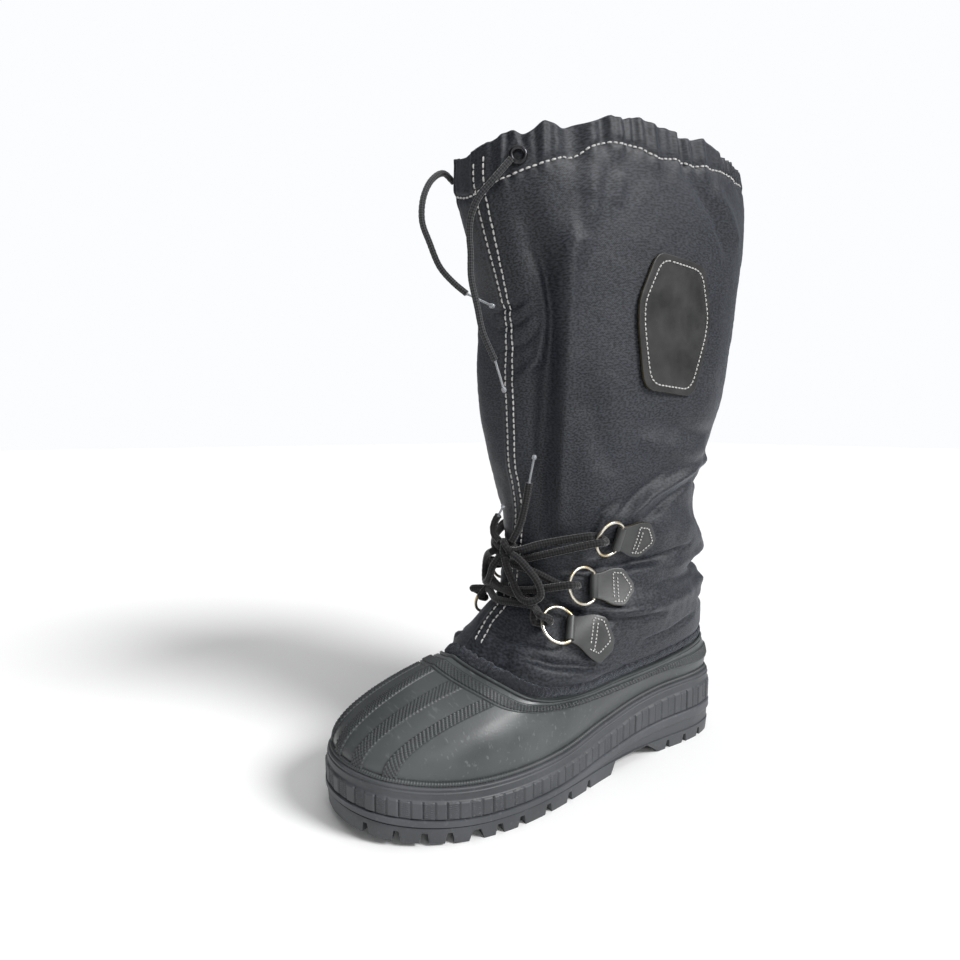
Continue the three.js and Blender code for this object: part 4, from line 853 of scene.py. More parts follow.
TAB_MIDDLE, HELD_BY_TAB, HELD_BY_BADGE, HELD_BY_EYELET = 14, 14, 50, 9
held_places = [(place.origin + place.along * TAB_MIDDLE, HELD_BY_TAB)
               for side in (1, -1) for place in tab_places[side]]
held_places.append((badge_place.origin, HELD_BY_BADGE))
held_places += [(place.origin, HELD_BY_EYELET) for place in eyelet_places.values()]


# How free the cloth is to fold: not under the badge, tabs and eyelets
def freedom(point):
    free = 1.0
    for middle, reach_mm in held_places:
        free = min(free, smooth((point - middle).length, reach_mm * 0.75, reach_mm * 1.2))
    return free


SHAFT_ROWS, SHAFT_COLUMNS, TUCKED = 230, 420, 0.03


def shaft_level(v):
    return (v - TUCKED) / (1 - TUCKED)


def shaft_place(u, v):
    level = shaft_level(v)
    if level < FREE_LEVEL:
        down = clamp(level / TUCKED, -1, 0)
        tucked = shell_point(u, 1 + down * 0.12)
        tucked -= normal_at(shell_point, u, 0.93) * (SHELL_WALL + GAP + CURVE_ROOM)
        if level <= 0:
            return tucked
        return tucked.lerp(shaft_point(u, FREE_LEVEL), level / FREE_LEVEL)
    return shaft_point(u, level)


# Angle of uneven waves round the rim: so many a turn, each shifted by slower ones of (push, count, start)
def uneven(turn, count, *shifts):
    return turn * count * math.tau + sum(push * math.sin(turn * slow * math.tau + start)
                                         for push, slow, start in shifts)


def rim_wave(turn):
    return math.cos(uneven(turn, 11, (2.2, 2, 1), (1.1, 5, 0)))


# The placket at the front stays flat
def off_placket(turn):
    return smooth(abs(turn - 0.487), 0.02, 0.07)


# Gathers of the hem over its cord: uneven upright puckers that fade below the stitches
def rim_gathers(turn, level):
    above = level - hem_level(turn)
    fine = math.sin(uneven(turn, 29, (3.2, 4, 0), (2, 9, 0)))
    finer = math.sin(uneven(turn, 61, (4, 6, 2), (2, 13, 0))) * smooth(above, -0.03, 0.01)
    strength = smooth(above, -0.05, 0.015) * off_placket(turn)
    pinch = math.exp(-(above / 0.006) ** 2)
    return strength * (1.3 * rim_wave(turn) + 1.2 * fine + 0.8 * finer) - 0.9 * pinch


def rim_rise(turn, level):
    fine = math.sin(uneven(turn, 23, (3, 3, 0)))
    return smooth(level, 0.95, 1) * (1.5 * rim_wave(turn) + fine) * off_placket(turn)


SEAM_RAISE, SEAM_EDGE, SEAM_PUCKER = 0.7, (0.006, 0.0085), 0.35


# Folds, crumples, rim gathers and the raised placket between the seam's rows
def dress_cloth(piece):
    mesh = piece.data
    layer = mesh.uv_layers.active.data
    places = {loop.vertex_index: tuple(layer[loop.index].uv) for loop in mesh.loops}
    turns = np.array([places[i][0] % 1 for i in range(len(mesh.vertices))])
    levels = np.array([shaft_level(places[i][1]) for i in range(len(mesh.vertices))])
    folds = fold_heights(turns, levels)
    normals = [v.normal.copy() for v in mesh.vertices]
    for vertex, normal, turn, level, fold in zip(mesh.vertices, normals, turns, levels, folds):
        if level < 0.012:
            continue
        point = vertex.co / MM
        free = freedom(point)
        crumple = (noise.noise(point * 0.03) * 1.5 + noise.noise(point * 0.075) * 0.7
                   + noise.noise(Vector((point.x, point.y, point.z * 2.2)) * 0.16) * 0.35)
        calm = smooth(level, 0.02, 0.09) * (1 - 0.45 * smooth(level, 0.3, 0.5))
        out = (fold * smooth(level, 0.012, 0.035) + crumple * calm + rim_gathers(turn, level)) * free
        row_a, row_b = profile_at(SEAM_ROWS, level, 1), profile_at(SEAM_ROWS, level, 2)
        near, far = SEAM_EDGE
        past_b = smooth(turn, row_b - far, row_b - near)
        before_a = 1 - smooth(turn, row_a + near, row_a + far)
        out += SEAM_RAISE * past_b * before_a
        out -= SEAM_PUCKER * sum(math.exp(-((turn - row) / 0.0022) ** 2) for row in (row_a, row_b))
        vertex.co += normal * out * MM
        vertex.co.z += rim_rise(turn, level) * MM


shaft = grid("shaft_cloth", SHAFT_COLUMNS, SHAFT_ROWS, shaft_place)
outwards(shaft)
dress_cloth(shaft)
cloth_tree = tree_of(shaft)
# The cloth's girth and height in metres, so that its weave has one pitch
scale_uv(shaft, 0.54, 0.38)
add_modifier(shaft, "SOLIDIFY", thickness=SHAFT_WALL * MM, offset=-1, use_even_offset=False)
only(shaft)
bpy.ops.object.shade_smooth()
finish_piece(shaft, NYLON, "shaft_nylon", "shaft")

# Rubber shell
SHELL_STEPS = 80
# The shell's face by its distance down from the topline: lip, groove, strip and knurled band
TOP_PROFILE = [
    (0, 0.4), (0.6, 1.1), (1.6, 1.3), (2.3, 0.9), (2.8, -0.4), (3.5, -0.4), (3.9, 0.5), (7.4, 0.6),
    (7.8, 0.2), (8.2, 0.2), (8.6, 0.6), (17.6, 0.6), (18.0, 1.0), (18.8, 0.9), (19.3, 0),
]
TOP_REACH = 23


@lru_cache(maxsize=None)
def shell_lengths(turn):
    points = [shell_point(turn, 1 - k / SHELL_STEPS) for k in range(SHELL_STEPS + 1)]
    lengths = [0.0]
    for a, b in zip(points, points[1:]):
        lengths.append(lengths[-1] + (b - a).length)
    return lengths


def shell_level(turn, down):
    lengths = shell_lengths(turn % 1)
    k = 0
    while k < SHELL_STEPS - 1 and lengths[k + 1] < down:
        k += 1
    return clamp(1 - (k + (down - lengths[k]) / (lengths[k + 1] - lengths[k])) / SHELL_STEPS)


def shell_outer(turn, down, lift=0.0):
    level = shell_level(turn, down)
    normal = normal_at(shell_point, turn, clamp(level, 0.003, 0.995))
    return shell_point(turn, level) + normal * lift


def shell_place(u, v):
    if v > 0.4:
        down = (1 - v) / 0.6 * TOP_REACH
    else:
        down = mix(shell_lengths(u % 1)[-1], TOP_REACH, v / 0.4)
    return shell_outer(u, down, profile_at(TOP_PROFILE, down))


shell = grid("rubber_shell", 360, 150, shell_place)
outwards(shell)
add_modifier(shell, "SOLIDIFY", thickness=SHELL_WALL * MM, offset=-1)
soften(shell, 50)
finish_piece(shell, SHELL_RUBBER, "shell_rubber", "shell")

KNURL_PITCH = 2.6


# Strip of raised diamonds; place(u, v) gives a point of the shell and the way out
def knurled(name, columns, rows, place, length_mm, width_of, height, sunk, round_it=False):
    def spot(u, v):
        base, out = place(u, v)
        across, along = (v - 0.5) * width_of(u), u * length_mm
        edge = smooth(min(v, 1 - v), 0, 0.1) * (1 if round_it else smooth(min(u, 1 - u), 0, 0.01))
        diamonds = abs(math.sin((along + across) * math.pi / KNURL_PITCH)
                       * math.sin((along - across) * math.pi / KNURL_PITCH)) ** 0.7
        return base + out * (edge * (sunk + 0.45 + height * diamonds) - sunk)

    piece = grid(name, columns, rows, spot, round_u=round_it)
    outwards(piece)
    soften(piece, 80)
    return finish_piece(piece, KNURL_RUBBER, "shell_rubber")


def stripe_place(middle, half):
    def place(u, v):
        turn = middle + (v - 0.5) * 2 * half
        down = mix(shell_lengths(turn)[-1] * 0.985 - 12, 19.2, u)
        level = shell_level(turn, down)
        return shell_point(turn, level), normal_at(shell_point, turn, level)
    return place


STRIPE_HALF = 0.0088
for number, middle in enumerate(VAMP_STRIPES):
    place = stripe_place(middle, STRIPE_HALF)
    length = length_of([place(k / 20, 0.5)[0] for k in range(21)])
    knurled(f"vamp_stripe_{number + 1}", round(length / 0.45), 22, place, length,
            lambda u, p=place: (p(u, 1)[0] - p(u, 0)[0]).length, 1.0, 0.4)


KNURL_LOW, KNURL_TOP = 17.6, 8.6


def band_place(u, v):
    level = shell_level(u, mix(KNURL_LOW, KNURL_TOP, v))
    out = normal_at(shell_point, u, level)
    return shell_point(u, level) + out * 0.45, out


band_length = length_of([band_place(k / 200, 0.5)[0] for k in range(201)])
knurled("topline_knurl", 1300, 20, band_place, round(band_length / KNURL_PITCH) * KNURL_PITCH,
        lambda _: KNURL_LOW - KNURL_TOP, 0.9, 0.5, True)

# Sidewall and sole
ARC_STEPS = 720
ARC = [0.0]
for k in range(ARC_STEPS):
    step = Vector(sole_edge((k + 1) / ARC_STEPS % 1)) - Vector(sole_edge(k / ARC_STEPS))
    ARC.append(ARC[-1] + step.length)
PERIMETER = ARC[-1]


@lru_cache(maxsize=None)
def turn_at_length(share):
    want = share * PERIMETER
    low, high = 0, ARC_STEPS
    while high - low > 1:
        middle = (low + high) // 2
        if ARC[middle] <= want:
            low = middle
        else:
            high = middle
    return (low + (want - ARC[low]) / (ARC[high] - ARC[low])) / ARC_STEPS


def sole_point(turn, inset, height):
    edge = sole_inset(turn % 1, round(inset, 2))
    return Vector((edge.x, edge.y, height))


RIBS, RIB_STEPS, RIB_GROOVE, ZIGZAG, ZIGZAG_PITCH = 106, 14, 0.75, 0.4, 1.3
# Insets of the sidewall by share of its rows: ribs, strip, step line, and a top that reaches in to the shell
SIDE_PROFILE = [
    (0.0, 1.6), (0.02, 0.8), (0.05, 0.2), (0.5, 0.0), (0.53, 0.3), (0.56, 1.2), (0.58, 1.5), (0.62, 1.6),
    (0.74, 1.5), (0.78, 1.2), (0.8, 1.4), (0.82, 1.9), (0.86, 1.9), (0.89, 1.6), (0.94, 1.8), (0.97, 2.6),
    (1.0, 6.2),
]


def sidewall_place(u, v):
    turn = turn_at_length(u)
    at = reach(turn)
    levels = [(0, side_line(BAND_TOP, at) + GAP), (0.56, side_line(RIB_TOP, at)), (0.8, side_line(STEP, at)),
              (1, side_line(SIDE_TOP, at))]
    height = profile_at(levels, v)
    inset = profile_at(SIDE_PROFILE, v)
    if 0.02 < v < 0.54:
        phase = (u * RIBS) % 1
        groove = 1 - smooth(min(phase, 1 - phase), 0.04, 0.1)
        inset += RIB_GROOVE * groove
        if int(u * RIBS) % 2:
            wavy = height + 0.9 * math.sin(phase * 3 * math.tau)
            inset += 0.15 + ZIGZAG * abs(math.sin(wavy * math.pi / ZIGZAG_PITCH))
    return sole_point(turn, inset, height)


sidewall = grid("ribbed_sidewall", RIBS * RIB_STEPS, 56, sidewall_place)
outwards(sidewall)
add_modifier(sidewall, "SOLIDIFY", thickness=0.0026, offset=-1, use_even_offset=False)
soften(sidewall, 45)
finish_piece(sidewall, SOLE_RUBBER, "sole_rubber", "sidewall")

# Roped bead that closes the sidewall against the shell
BEAD_RADIUS, BEAD_INSET, ROPE_PITCH = 1.5, 4.6, 1.8


def bead_place(u, v):
    turn = turn_at_length(u)
    middle = sole_point(turn, BEAD_INSET, side_line(SIDE_TOP, reach(turn)) + 0.5)
    out = (sole_point(turn, 0, middle.z) - sole_point(turn, 2, middle.z)).normalized()
    angle = v * math.tau
    rope = 1 + 0.13 * math.sin((u * round(PERIMETER / ROPE_PITCH) + v) * math.tau)
    return middle + (out * math.cos(angle) + Vector((0, 0, 1)) * math.sin(angle)) * BEAD_RADIUS * rope


bead = grid("roped_bead", 1800, 14, bead_place, round_v=True)
outwards(bead)
soften(bead, 80)
finish_piece(bead, KNURL_RUBBER, "sole_rubber")

PLATE_PROFILE = [(0.0, 1.6), (0.4, 1.2), (0.46, 0.3), (0.5, 0.0), (0.92, 0.0), (0.96, 0.5), (1.0, 1.4)]


def plate_place(u, v):
    turn = turn_at_length(u)
    at = reach(turn)
    root, low, top = LUG_DEPTH + spring(at), side_line(BAND_LOW, at), side_line(BAND_TOP, at)
    height = mix(root, low, v / 0.5) if v < 0.5 else mix(low, top, (v - 0.5) / 0.5)
    return sole_point(turn, profile_at(PLATE_PROFILE, v), height)


def lug_place(u, v):
    return sole_point(turn_at_length(u), mix(1.8, 0.9, v), mix(0, LUG_DEPTH + 0.6, v))


# Open edges of a grid that went round, closed with flat faces
def capped(name, columns, rows, place):
    piece = grid(name, columns, rows, place)
    close_ends(piece)
    outwards(piece)
    return piece


plate = capped("sole_plate", 440, 24, plate_place)
soften(plate, 45)
finish_piece(plate, BAND_RUBBER, "sole_rubber", "outsole")
plate.data.materials.append(SOLE_RUBBER)
for face in plate.data.polygons:
    middle = face.center / MM
    if middle.z < side_line(BAND_LOW, (HEEL_BACK - middle.y) / LENGTH) - 0.2:
        face.material_index = 1

tread = capped("tread_lugs", 440, 2, lug_place)


def cutter_block(long, wide, high, place, angle):
    deselect()
    bpy.ops.mesh.primitive_cube_add(size=1)
    cutter = bpy.context.object
    turned = Matrix.Rotation(angle, 3, "Z")
    for vertex in cutter.data.vertices:
        x, y, z = vertex.co.x * long, vertex.co.y * wide, vertex.co.z * high
        y *= 1.0 + 0.35 * clamp(-vertex.co.z * 2, -1, 1)
        vertex.co = (turned @ Vector((x, y, z)) + place) * MM
    return cutter


CUT_BELOW = 2
cutters = []
for at, width in EDGE_NOTCHES:
    for side in (1, -1):
        half = math.acos(1 - 2 * at) / math.tau
        turn = half if side > 0 else 1 - half
        edge, inner = Vector(sole_edge(turn)), sole_inset(turn, NOTCH_REACH)
        middle = (edge + inner) / 2
        angle = math.atan2(inner.y - edge.y, inner.x - edge.x)
        cutters.append(cutter_block(NOTCH_REACH * 1.3, NOTCH_WIDTH * width, NOTCH_RISE + CUT_BELOW,
                                    Vector((middle.x, middle.y, (NOTCH_RISE - CUT_BELOW) / 2)), angle))
for at in CROSS_GROOVES:
    outer = column(SOLE_OUTLINE, 1, at) * WIDTH - NOTCH_REACH
    inner = column(SOLE_OUTLINE, 2, at) * WIDTH - NOTCH_REACH
    place = Vector(((outer - inner) / 2, HEEL_BACK - at * LENGTH, (LUG_DEPTH - CUT_BELOW) / 2))
    cutters.append(cutter_block(outer + inner, NOTCH_WIDTH, LUG_DEPTH + CUT_BELOW, place, 0))
arch = cutter_block(1, 1, 1, Vector(), 0)
arch_corners = {(-1, -1): (-ARCH_FRONT, -CUT_BELOW), (1, -1): (-ARCH_BACK + BREAST_SLANT, -CUT_BELOW),
                (-1, 1): (-ARCH_FRONT - ARCH_SLANT, LUG_DEPTH), (1, 1): (-ARCH_BACK, LUG_DEPTH)}
for vertex in arch.data.vertices:
    y, z = arch_corners[(round(math.copysign(1, vertex.co.y)), round(math.copysign(1, vertex.co.z)))]
    vertex.co = Vector((math.copysign(WIDTH, vertex.co.x), y, z)) * MM
cutters.append(arch)
for cutter in cutters:
    outwards(cutter)
    add_modifier(tread, "BOOLEAN", object=cutter, operation="DIFFERENCE", solver="EXACT")
    bpy.data.objects.remove(cutter)
add_modifier(tread, "BEVEL", width=0.0007, segments=2, limit_method="ANGLE", angle_limit=math.radians(50))
add_modifier(tread, "TRIANGULATE")
# Sliced across the toe, so that the lugs bend up with its spring
edit_all(tread)
for station in range(1, 12):
    slice_at = HEEL_BACK - (0.74 + station * 0.022) * LENGTH
    bpy.ops.mesh.select_all(action="SELECT")
    bpy.ops.mesh.bisect(plane_co=(0, slice_at * MM, 0), plane_no=(0, 1, 0))
done_editing()
for vertex in tread.data.vertices:
    vertex.co.z += spring((HEEL_BACK - vertex.co.y / MM) / LENGTH) * MM
soften(tread, 35)
finish_piece(tread, SOLE_RUBBER, "sole_rubber")


# Binding
def binding_place(u, v):
    low = shaft_place(u, TUCKED)
    high = shaft_point(u, FREE_LEVEL)
    ragged = 0.16 * noise.noise(Vector((math.cos(u * math.tau), math.sin(u * math.tau), 0)) * 24)
    base = low.lerp(high, mix(0.05, 0.66 + ragged * 0.6, v))
    out = GAP + 2.1 * math.sin(clamp(v * 0.94 + 0.08) * math.pi) ** 0.5
    wall = normal_at(lambda a, b: shaft_place(a, mix(TUCKED, TUCKED + 0.03, b)), u, 0.5)
    fuzz = 0.45 * noise.noise(base * 0.5) + 0.4 * noise.noise(base * 1.3) + 0.3 * noise.noise(base * 2.4)
    return base + wall * (out + fuzz)


binding = grid("woven_binding", 1100, 16, binding_place)
outwards(binding)
add_modifier(binding, "SOLIDIFY", thickness=0.0003, offset=-1)
only(binding)
bpy.ops.object.shade_smooth()
finish_piece(binding, BINDING_TAPE, "binding_fabric", "binding")


# Plates on the cloth
# Smooth bowl fitted to the cloth under a plate, so that the plate stays stiff
class Seat:
    def __init__(self, place, low, high, half):
        self.place = place
        rows, lifts = [], []
        for i in range(9):
            for j in range(7):
                a, c = mix(low, high, i / 8), mix(-half, half, j / 6)
                start = place.origin + place.along * a + place.across * c + place.normal * 25
                hit = cloth_tree.ray_cast(start * MM, -place.normal)[0]
                if hit:
                    rows.append(self.terms(a, c))
                    lifts.append((hit / MM - place.origin).dot(place.normal))
        self.factors = np.linalg.lstsq(np.array(rows), np.array(lifts), rcond=None)[0]
        over = np.array(lifts) - np.array(rows) @ self.factors
        self.factors[0] += max(0.0, float(over.max())) * 0.7

    @staticmethod
    def terms(a, c):
        return [1, a / 10, c / 10, a * a / 100, a * c / 100, c * c / 100]

    def point(self, a, c, lift):
        rise = float(np.dot(self.terms(a, c), self.factors)) + lift
        return self.place.origin + self.place.along * a + self.place.across * c + self.place.normal * rise


def plate_on_cloth(name, seat, stations, thickness, lift, face, rows=40, columns=20):
    low, high = stations[0][0], stations[-1][0]
    marks = [a for a, _ in stations]

    def spot(u, v):
        along = mix(low, high, u)
        return seat.point(along, (v - 0.5) * 2 * profile_at(stations, along), lift)

    piece = grid(name, rows, columns, spot, round_u=False)
    facing = piece.data.polygons[len(piece.data.polygons) // 2].normal.dot(seat.place.normal)
    if facing < 0:
        edit_all(piece)
        bpy.ops.mesh.flip_normals()
        done_editing()
    piece.data.materials.clear()
    piece.data.materials.append(face)
    piece.data.materials.append(CUT_EDGE)
    add_modifier(piece, "SOLIDIFY", thickness=thickness * MM, offset=1, material_offset_rim=1)
    add_modifier(piece, "BEVEL", width=0.0005, segments=2, limit_method="ANGLE", angle_limit=math.radians(60))
    soften(piece, 50)
    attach(piece, "root")
    return piece


# Rings of one stitch: share of its length, share of its radius, and height over the surface
STITCH_RINGS = [(0, 0.45, -0.25), (0.18, 1, 0.15), (0.5, 1.1, 0.3), (0.82, 1, 0.15), (1, 0.45, -0.25)]


# White stitches along a line of points that lie on a surface
def stitch_row(name, line, normal_of, pitch=3.6, share=0.72, radius=0.5):
    points = curve_through(line, 0.4)
    step = round(pitch / 0.4)
    verts, faces = [], []
    for start in range(0, len(points) - step, step):
        a, b = points[start], points[start + round(step * share)]
        normal = normal_of(a)
        along = (b - a).normalized()
        across = along.cross(normal).normalized()
        base = len(verts)
        for t, size, rise in STITCH_RINGS:
            centre = a.lerp(b, t) + normal * rise
            for side in range(6):
                angle = side / 6 * math.tau
                verts.append((centre + (across * math.cos(angle) + normal * math.sin(angle) * 0.8)
                              * radius * size) * MM)
        for ring in range(4):
            for side in range(6):
                near, far = base + ring * 6 + side, base + ring * 6 + (side + 1) % 6
                faces.append((near, far, far + 6, near + 6))
        faces.append(tuple(base + s for s in reversed(range(6))))
        faces.append(tuple(base + 24 + s for s in range(6)))
    mesh = bpy.data.meshes.new(name)
    mesh.from_pydata(verts, [], faces)
    piece = bpy.data.objects.new(name, mesh)
    bpy.context.scene.collection.objects.link(piece)
    mesh.uv_layers.new(name="UVMap")
    outwards(piece)
    only(piece)
    bpy.ops.object.shade_smooth()
    return finish_piece(piece, THREAD, "shaft_nylon")


def seat_on(tree, point, lift):
    hit, normal, _, _ = tree.find_nearest(Vector(point) * MM)
    return hit / MM + normal * lift


def cloth_normal(point):
    return cloth_tree.find_nearest(point * MM)[1]


# Points about a millimetre apart along straight pieces between corners on a seat
def along_corners(seat, corners, lift):
    points = []
    for (a, b), (c, d) in zip(corners, corners[1:]):
        count = max(2, round(math.hypot(c - a, d - b)))
        points += [seat.point(mix(a, c, k / count), mix(b, d, k / count), lift) for k in range(count)]
    return points


# Points dropped onto a plate against its normal
def landed(tree, points, normal, lift=0.12):
    hits = [tree.ray_cast(point * MM, -normal)[0] for point in points]
    return [hit / MM + normal * lift for hit in hits if hit]


# Tabs, rings and badge
ROLL_HALF = RING_BAR / 2 - 1
# Tab and badge outlines: distance along, and half width
TAB_STATIONS = [
    (-1.5, 8.2), (2, 8.4), (5, 8.9), (8, 9.9), (11, 11.3), (14, 12.3), (17, 12.8), (22, 12.9),
    (23.5, 12.2), (26.5, 8.4), (30, 4), (TAB_LENGTH, 2.6),
]
# Rows of stitches on a tab, along and across
TAB_BORDER = [(15, -9.6), (22, -9.6), (28.6, -1), (28.6, 1), (22, 9.6), (15, 9.6), (15, -9.6)]
TAB_BAR = [(18.2, -9.4), (18.2, 9.4)]
for side, side_name in ((1, "lateral"), (-1, "medial")):
    for number, place in enumerate(tab_places[side]):
        name = f"{side_name}_{number + 1}"
        seat = Seat(place, 0, TAB_LENGTH, 12)
        tab = plate_on_cloth(f"tab_{name}", seat, TAB_STATIONS, TAB_THICKNESS, 0.5, LEATHER)
        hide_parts(f"lace_tab_{name}")
        tab_tree = tree_of(tab)
        middle = place.origin + place.normal * (CLOTH_SEAT + TAB_ROLL)
        bar_line = curve_through([middle + place.across * half for half in (-ROLL_HALF, 0, ROLL_HALF)], 0.8)
        finish_piece(tube(f"tab_roll_{name}", bar_line, TAB_ROLL, 24), LEATHER, "leather")
        for row, outline in enumerate((TAB_BORDER, TAB_BAR)):
            line = landed(tab_tree, along_corners(seat, outline, 15), place.normal)
            stitch_row(f"tab_stitch_{name}_{row + 1}", line, lambda _, n=place.normal: n, 2.6, 0.74, 0.46)
        centre = math.sqrt(RING_RADIUS ** 2 - (RING_BAR / 2) ** 2)
        start = math.pi - math.asin(RING_BAR / 2 / RING_RADIUS)
        arc = [(centre + RING_RADIUS * math.cos(mix(start, -start, k / 60)),
                RING_RADIUS * math.sin(mix(start, -start, k / 60))) for k in range(61)]
        bar = [(0, mix(-RING_BAR / 2, RING_BAR / 2, k / 20)) for k in range(1, 20)]
        ring = tube(f"ring_{name}", [place.ring_point(forward, across) for forward, across in arc + bar],
                    RING_WIRE / 2, 16, closed=True)
        finish_piece(ring, RING_METAL, "ring_metal", f"d_ring_{name}")
    place = eyelet_places[side]
    loop = [place.origin + place.normal * 1.9 + (place.along * math.cos(k / 48 * math.tau)
                                                 + place.across * math.sin(k / 48 * math.tau)) * 4.4
            for k in range(48)]
    eyelet = tube(f"grommet_{side_name}", loop, 1.5, 16, closed=True)
    finish_piece(eyelet, EYELET_METAL, "eyelet_metal", f"eyelet_{side_name}")

BADGE_STATIONS = [
    (-46, 17.5), (-45.4, 20.6), (-44, 23.4), (-42, 25.6), (-38, 27.8), (-27, 31.6), (-17, 34.9),
    (-12, 35.8), (-7, 35.9), (4, 34.6), (18, 31.2), (34, 27), (39, 25.4), (42.5, 23.2), (44.8, 20.4),
    (46, 16.5),
]
STITCH_INSET = 4.4
badge_seat = Seat(badge_place, -44, 44, 32)
badge = plate_on_cloth("side_patch", badge_seat, BADGE_STATIONS, BADGE_THICKNESS, 0.6, PATCH_LEATHER, 92, 40)
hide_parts("badge")
border_half = [(a * (1 - STITCH_INSET / 46), half - STITCH_INSET) for a, half in BADGE_STATIONS]
border = [(a, -half) for a, half in border_half] + [(a, half) for a, half in reversed(border_half)]
stitch_row("patch_stitch", landed(tree_of(badge), along_corners(badge_seat, border + border[:1], 15),
                                  badge_place.normal), lambda _: badge_place.normal, 3.2, 0.74, 0.5)


# Lace through the rings
def hook_points(place):
    far = math.sqrt(RING_RADIUS ** 2 - (RING_BAR / 2) ** 2) + RING_RADIUS
    bend = LACE / 2 + RING_WIRE / 2 + LACE_SLACK
    points = []
    for turn in (-0.75, -0.5, -0.25, 0, 0.25, 0.5, 0.75):
        off = math.sin(clamp(turn, -0.5, 0.5) * math.pi) * bend
        forward = LACE * 0.7 if abs(turn) > 0.5 else -math.cos(turn * math.pi) * bend
        points.append(place.ring_point(far + forward, 0, off))
    return points


def over_shaft(turn, z, lift):
    foot = topline(turn % 1).z
    rim = shaft_turn(turn % 1)[3]
    level = (z - foot) / (rim - foot)
    return shaft_point(turn, level) + normal_at(shaft_point, turn, level) * lift


# One run of the lace, from inside its first ring to inside its last one or to the knot
def lace_run(first, last, ends, seam_height):
    lift = LACE / 2 + 0.9 + GAP * 3

    def half_hook(place, over):
        points = hook_points(place)
        return points[3:] if over else points[3::-1]

    def corner(place, near):
        return over_shaft(0.5 - place.side * SEAM_CORNER, mix(near, seam_height, 0.6), lift + CORNER_LIFT)

    start = half_hook(first, ends[0])
    points = start + [corner(first, start[2].z)]
    if last:
        end = half_hook(last, ends[1])
        points += [over_shaft(0.5, seam_height, lift), corner(last, end[2].z)] + end[::-1]
    else:
        points.append(Vector((KNOT.x + first.side * 9.5, KNOT.y - 0.5, KNOT.z)))
        points.append(Vector((KNOT.x + first.side * 3, KNOT.y - 0.5, KNOT.z)))
    return points


outer, inner = tab_places[1], tab_places[-1]
RUNS = [(outer[2], inner[2], (1, 1), BAR_HEIGHT), (outer[2], inner[1], (0, 1), CROSSING_HEIGHTS[0]),
        (inner[2], outer[1], (0, 1), CROSSING_HEIGHTS[0]), (outer[1], inner[0], (0, 1), CROSSING_HEIGHTS[1]),
        (inner[1], outer[0], (0, 1), CROSSING_HEIGHTS[1]), (outer[0], None, (0,), KNOT.z),
        (inner[0], None, (0,), KNOT.z)]
laces = []
for number, run in enumerate(RUNS):
    line = curve_through(lace_run(*run), BRAID_STEP)
    laces.append(tube(f"lace_run_{number + 1}", line, LACE / 2, BRAID_SIDES, strands=BRAID_STRANDS))
for piece in laces:
    finish_piece(piece, LACE_CORD, "cord")
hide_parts("lace_crossings")


# Knot: a wrap and two turns of the lace
def knot_loop(name, width, height, depth, tilt, shift):
    points = []
    for k in range(64):
        angle = k / 64 * math.tau
        flat = Vector((math.cos(angle) * width, math.sin(angle * 2) * depth, math.sin(angle) * height))
        flat.rotate(Matrix.Rotation(tilt, 3, "Y"))
        points.append(KNOT + flat + Vector(shift))
    piece = tube(name, points, LACE / 2 * 0.94, BRAID_SIDES, closed=True, strands=BRAID_STRANDS)
    return finish_piece(piece, LACE_CORD, "cord")


first_wrap = knot_loop("knot_wrap", 5.2, 2.6, 1.2, 1.25, (0, -2.6, 0))
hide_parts("lace_knot")
knot_loop("knot_turn_1", 6.2, 2.2, 1.4, 0.35, (0, 0.4, 1.6))
knot_loop("knot_turn_2", 6.0, 2.2, 1.4, -0.45, (0, 0.6, -1.8))

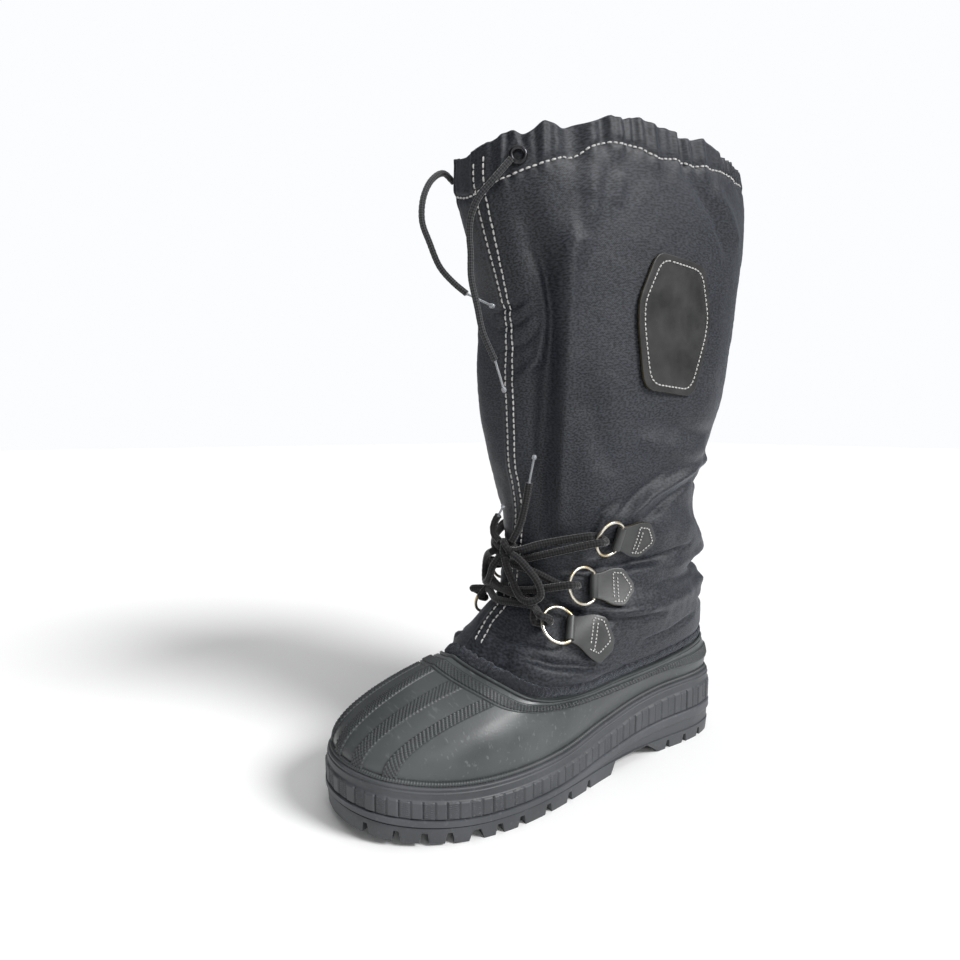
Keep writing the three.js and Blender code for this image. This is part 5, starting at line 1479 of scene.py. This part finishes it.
# Short inner end of the lace, whose tip is most of what shows
inner_end = tube("lace_end_inner", curve_through(LACE_END_INNER, BRAID_STEP), LACE / 2, BRAID_SIDES,
                 strands=BRAID_STRANDS)
finish_piece(inner_end, LACE_CORD, "cord", "lace_end_medial")
cord_tip("lace_end_inner_tip", Vector(LACE_END_INNER[-1]), Vector(LACE_TIP_INNER), "lace_aglet_medial")

# Stitches of the shaft
for row in (1, 2):
    line = [seat_on(cloth_tree, shaft_point(profile_at(SEAM_ROWS, level, row), level), 0.15)
            for level in (mix(0.034, 0.985, k / 150) for k in range(151))]
    stitch_row(f"seam_stitch_{row}", line, cloth_normal, 4.0, 0.76, 0.6)
line = [seat_on(cloth_tree, shaft_point(k / 400, hem_level(k / 400)), 0.15) for k in range(401)]
stitch_row("hem_stitch", line, cloth_normal, 4.4, 0.76, 0.58)

# Insole
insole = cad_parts["insole"]
insole.data.materials.clear()
insole.data.materials.append(FELT)

# Floor and light
deselect()
bpy.ops.mesh.primitive_plane_add(size=16)
floor = bpy.context.object
floor.name = "floor"
floor_material, _, _ = new_material("pale_floor", {"Base Color": (0.9, 0.9, 0.9, 1), "Roughness": 0.9})
floor.data.materials.append(floor_material)

world = bpy.context.scene.world or bpy.data.worlds.new("studio")
bpy.context.scene.world = world
background = tree_in(world).nodes["Background"]
background.inputs[0].default_value = (0.97, 0.98, 1, 1)
seen = add_node(world.node_tree, "ShaderNodeLightPath").outputs["Is Camera Ray"]
world.node_tree.links.new(remap(world.node_tree, seen, 0.0, 1.0, 0.16, 1.0), background.inputs[1])


def soft_sun(name, from_point, spread, power):
    data = bpy.data.lights.new(name, "SUN")
    data.angle = math.radians(spread)
    data.energy = power
    lamp = bpy.data.objects.new(name, data)
    lamp.location = from_point
    lamp.rotation_euler = Vector(from_point).to_track_quat("Z", "Y").to_euler()
    bpy.context.scene.collection.objects.link(lamp)


soft_sun("window", (0.85, 0.42, 0.75), 20, 3.3)
soft_sun("sky", (0.1, 0, 1.2), 60, 1.1)
soft_sun("fill", (1, -0.3, 0.4), 30, 0.6)
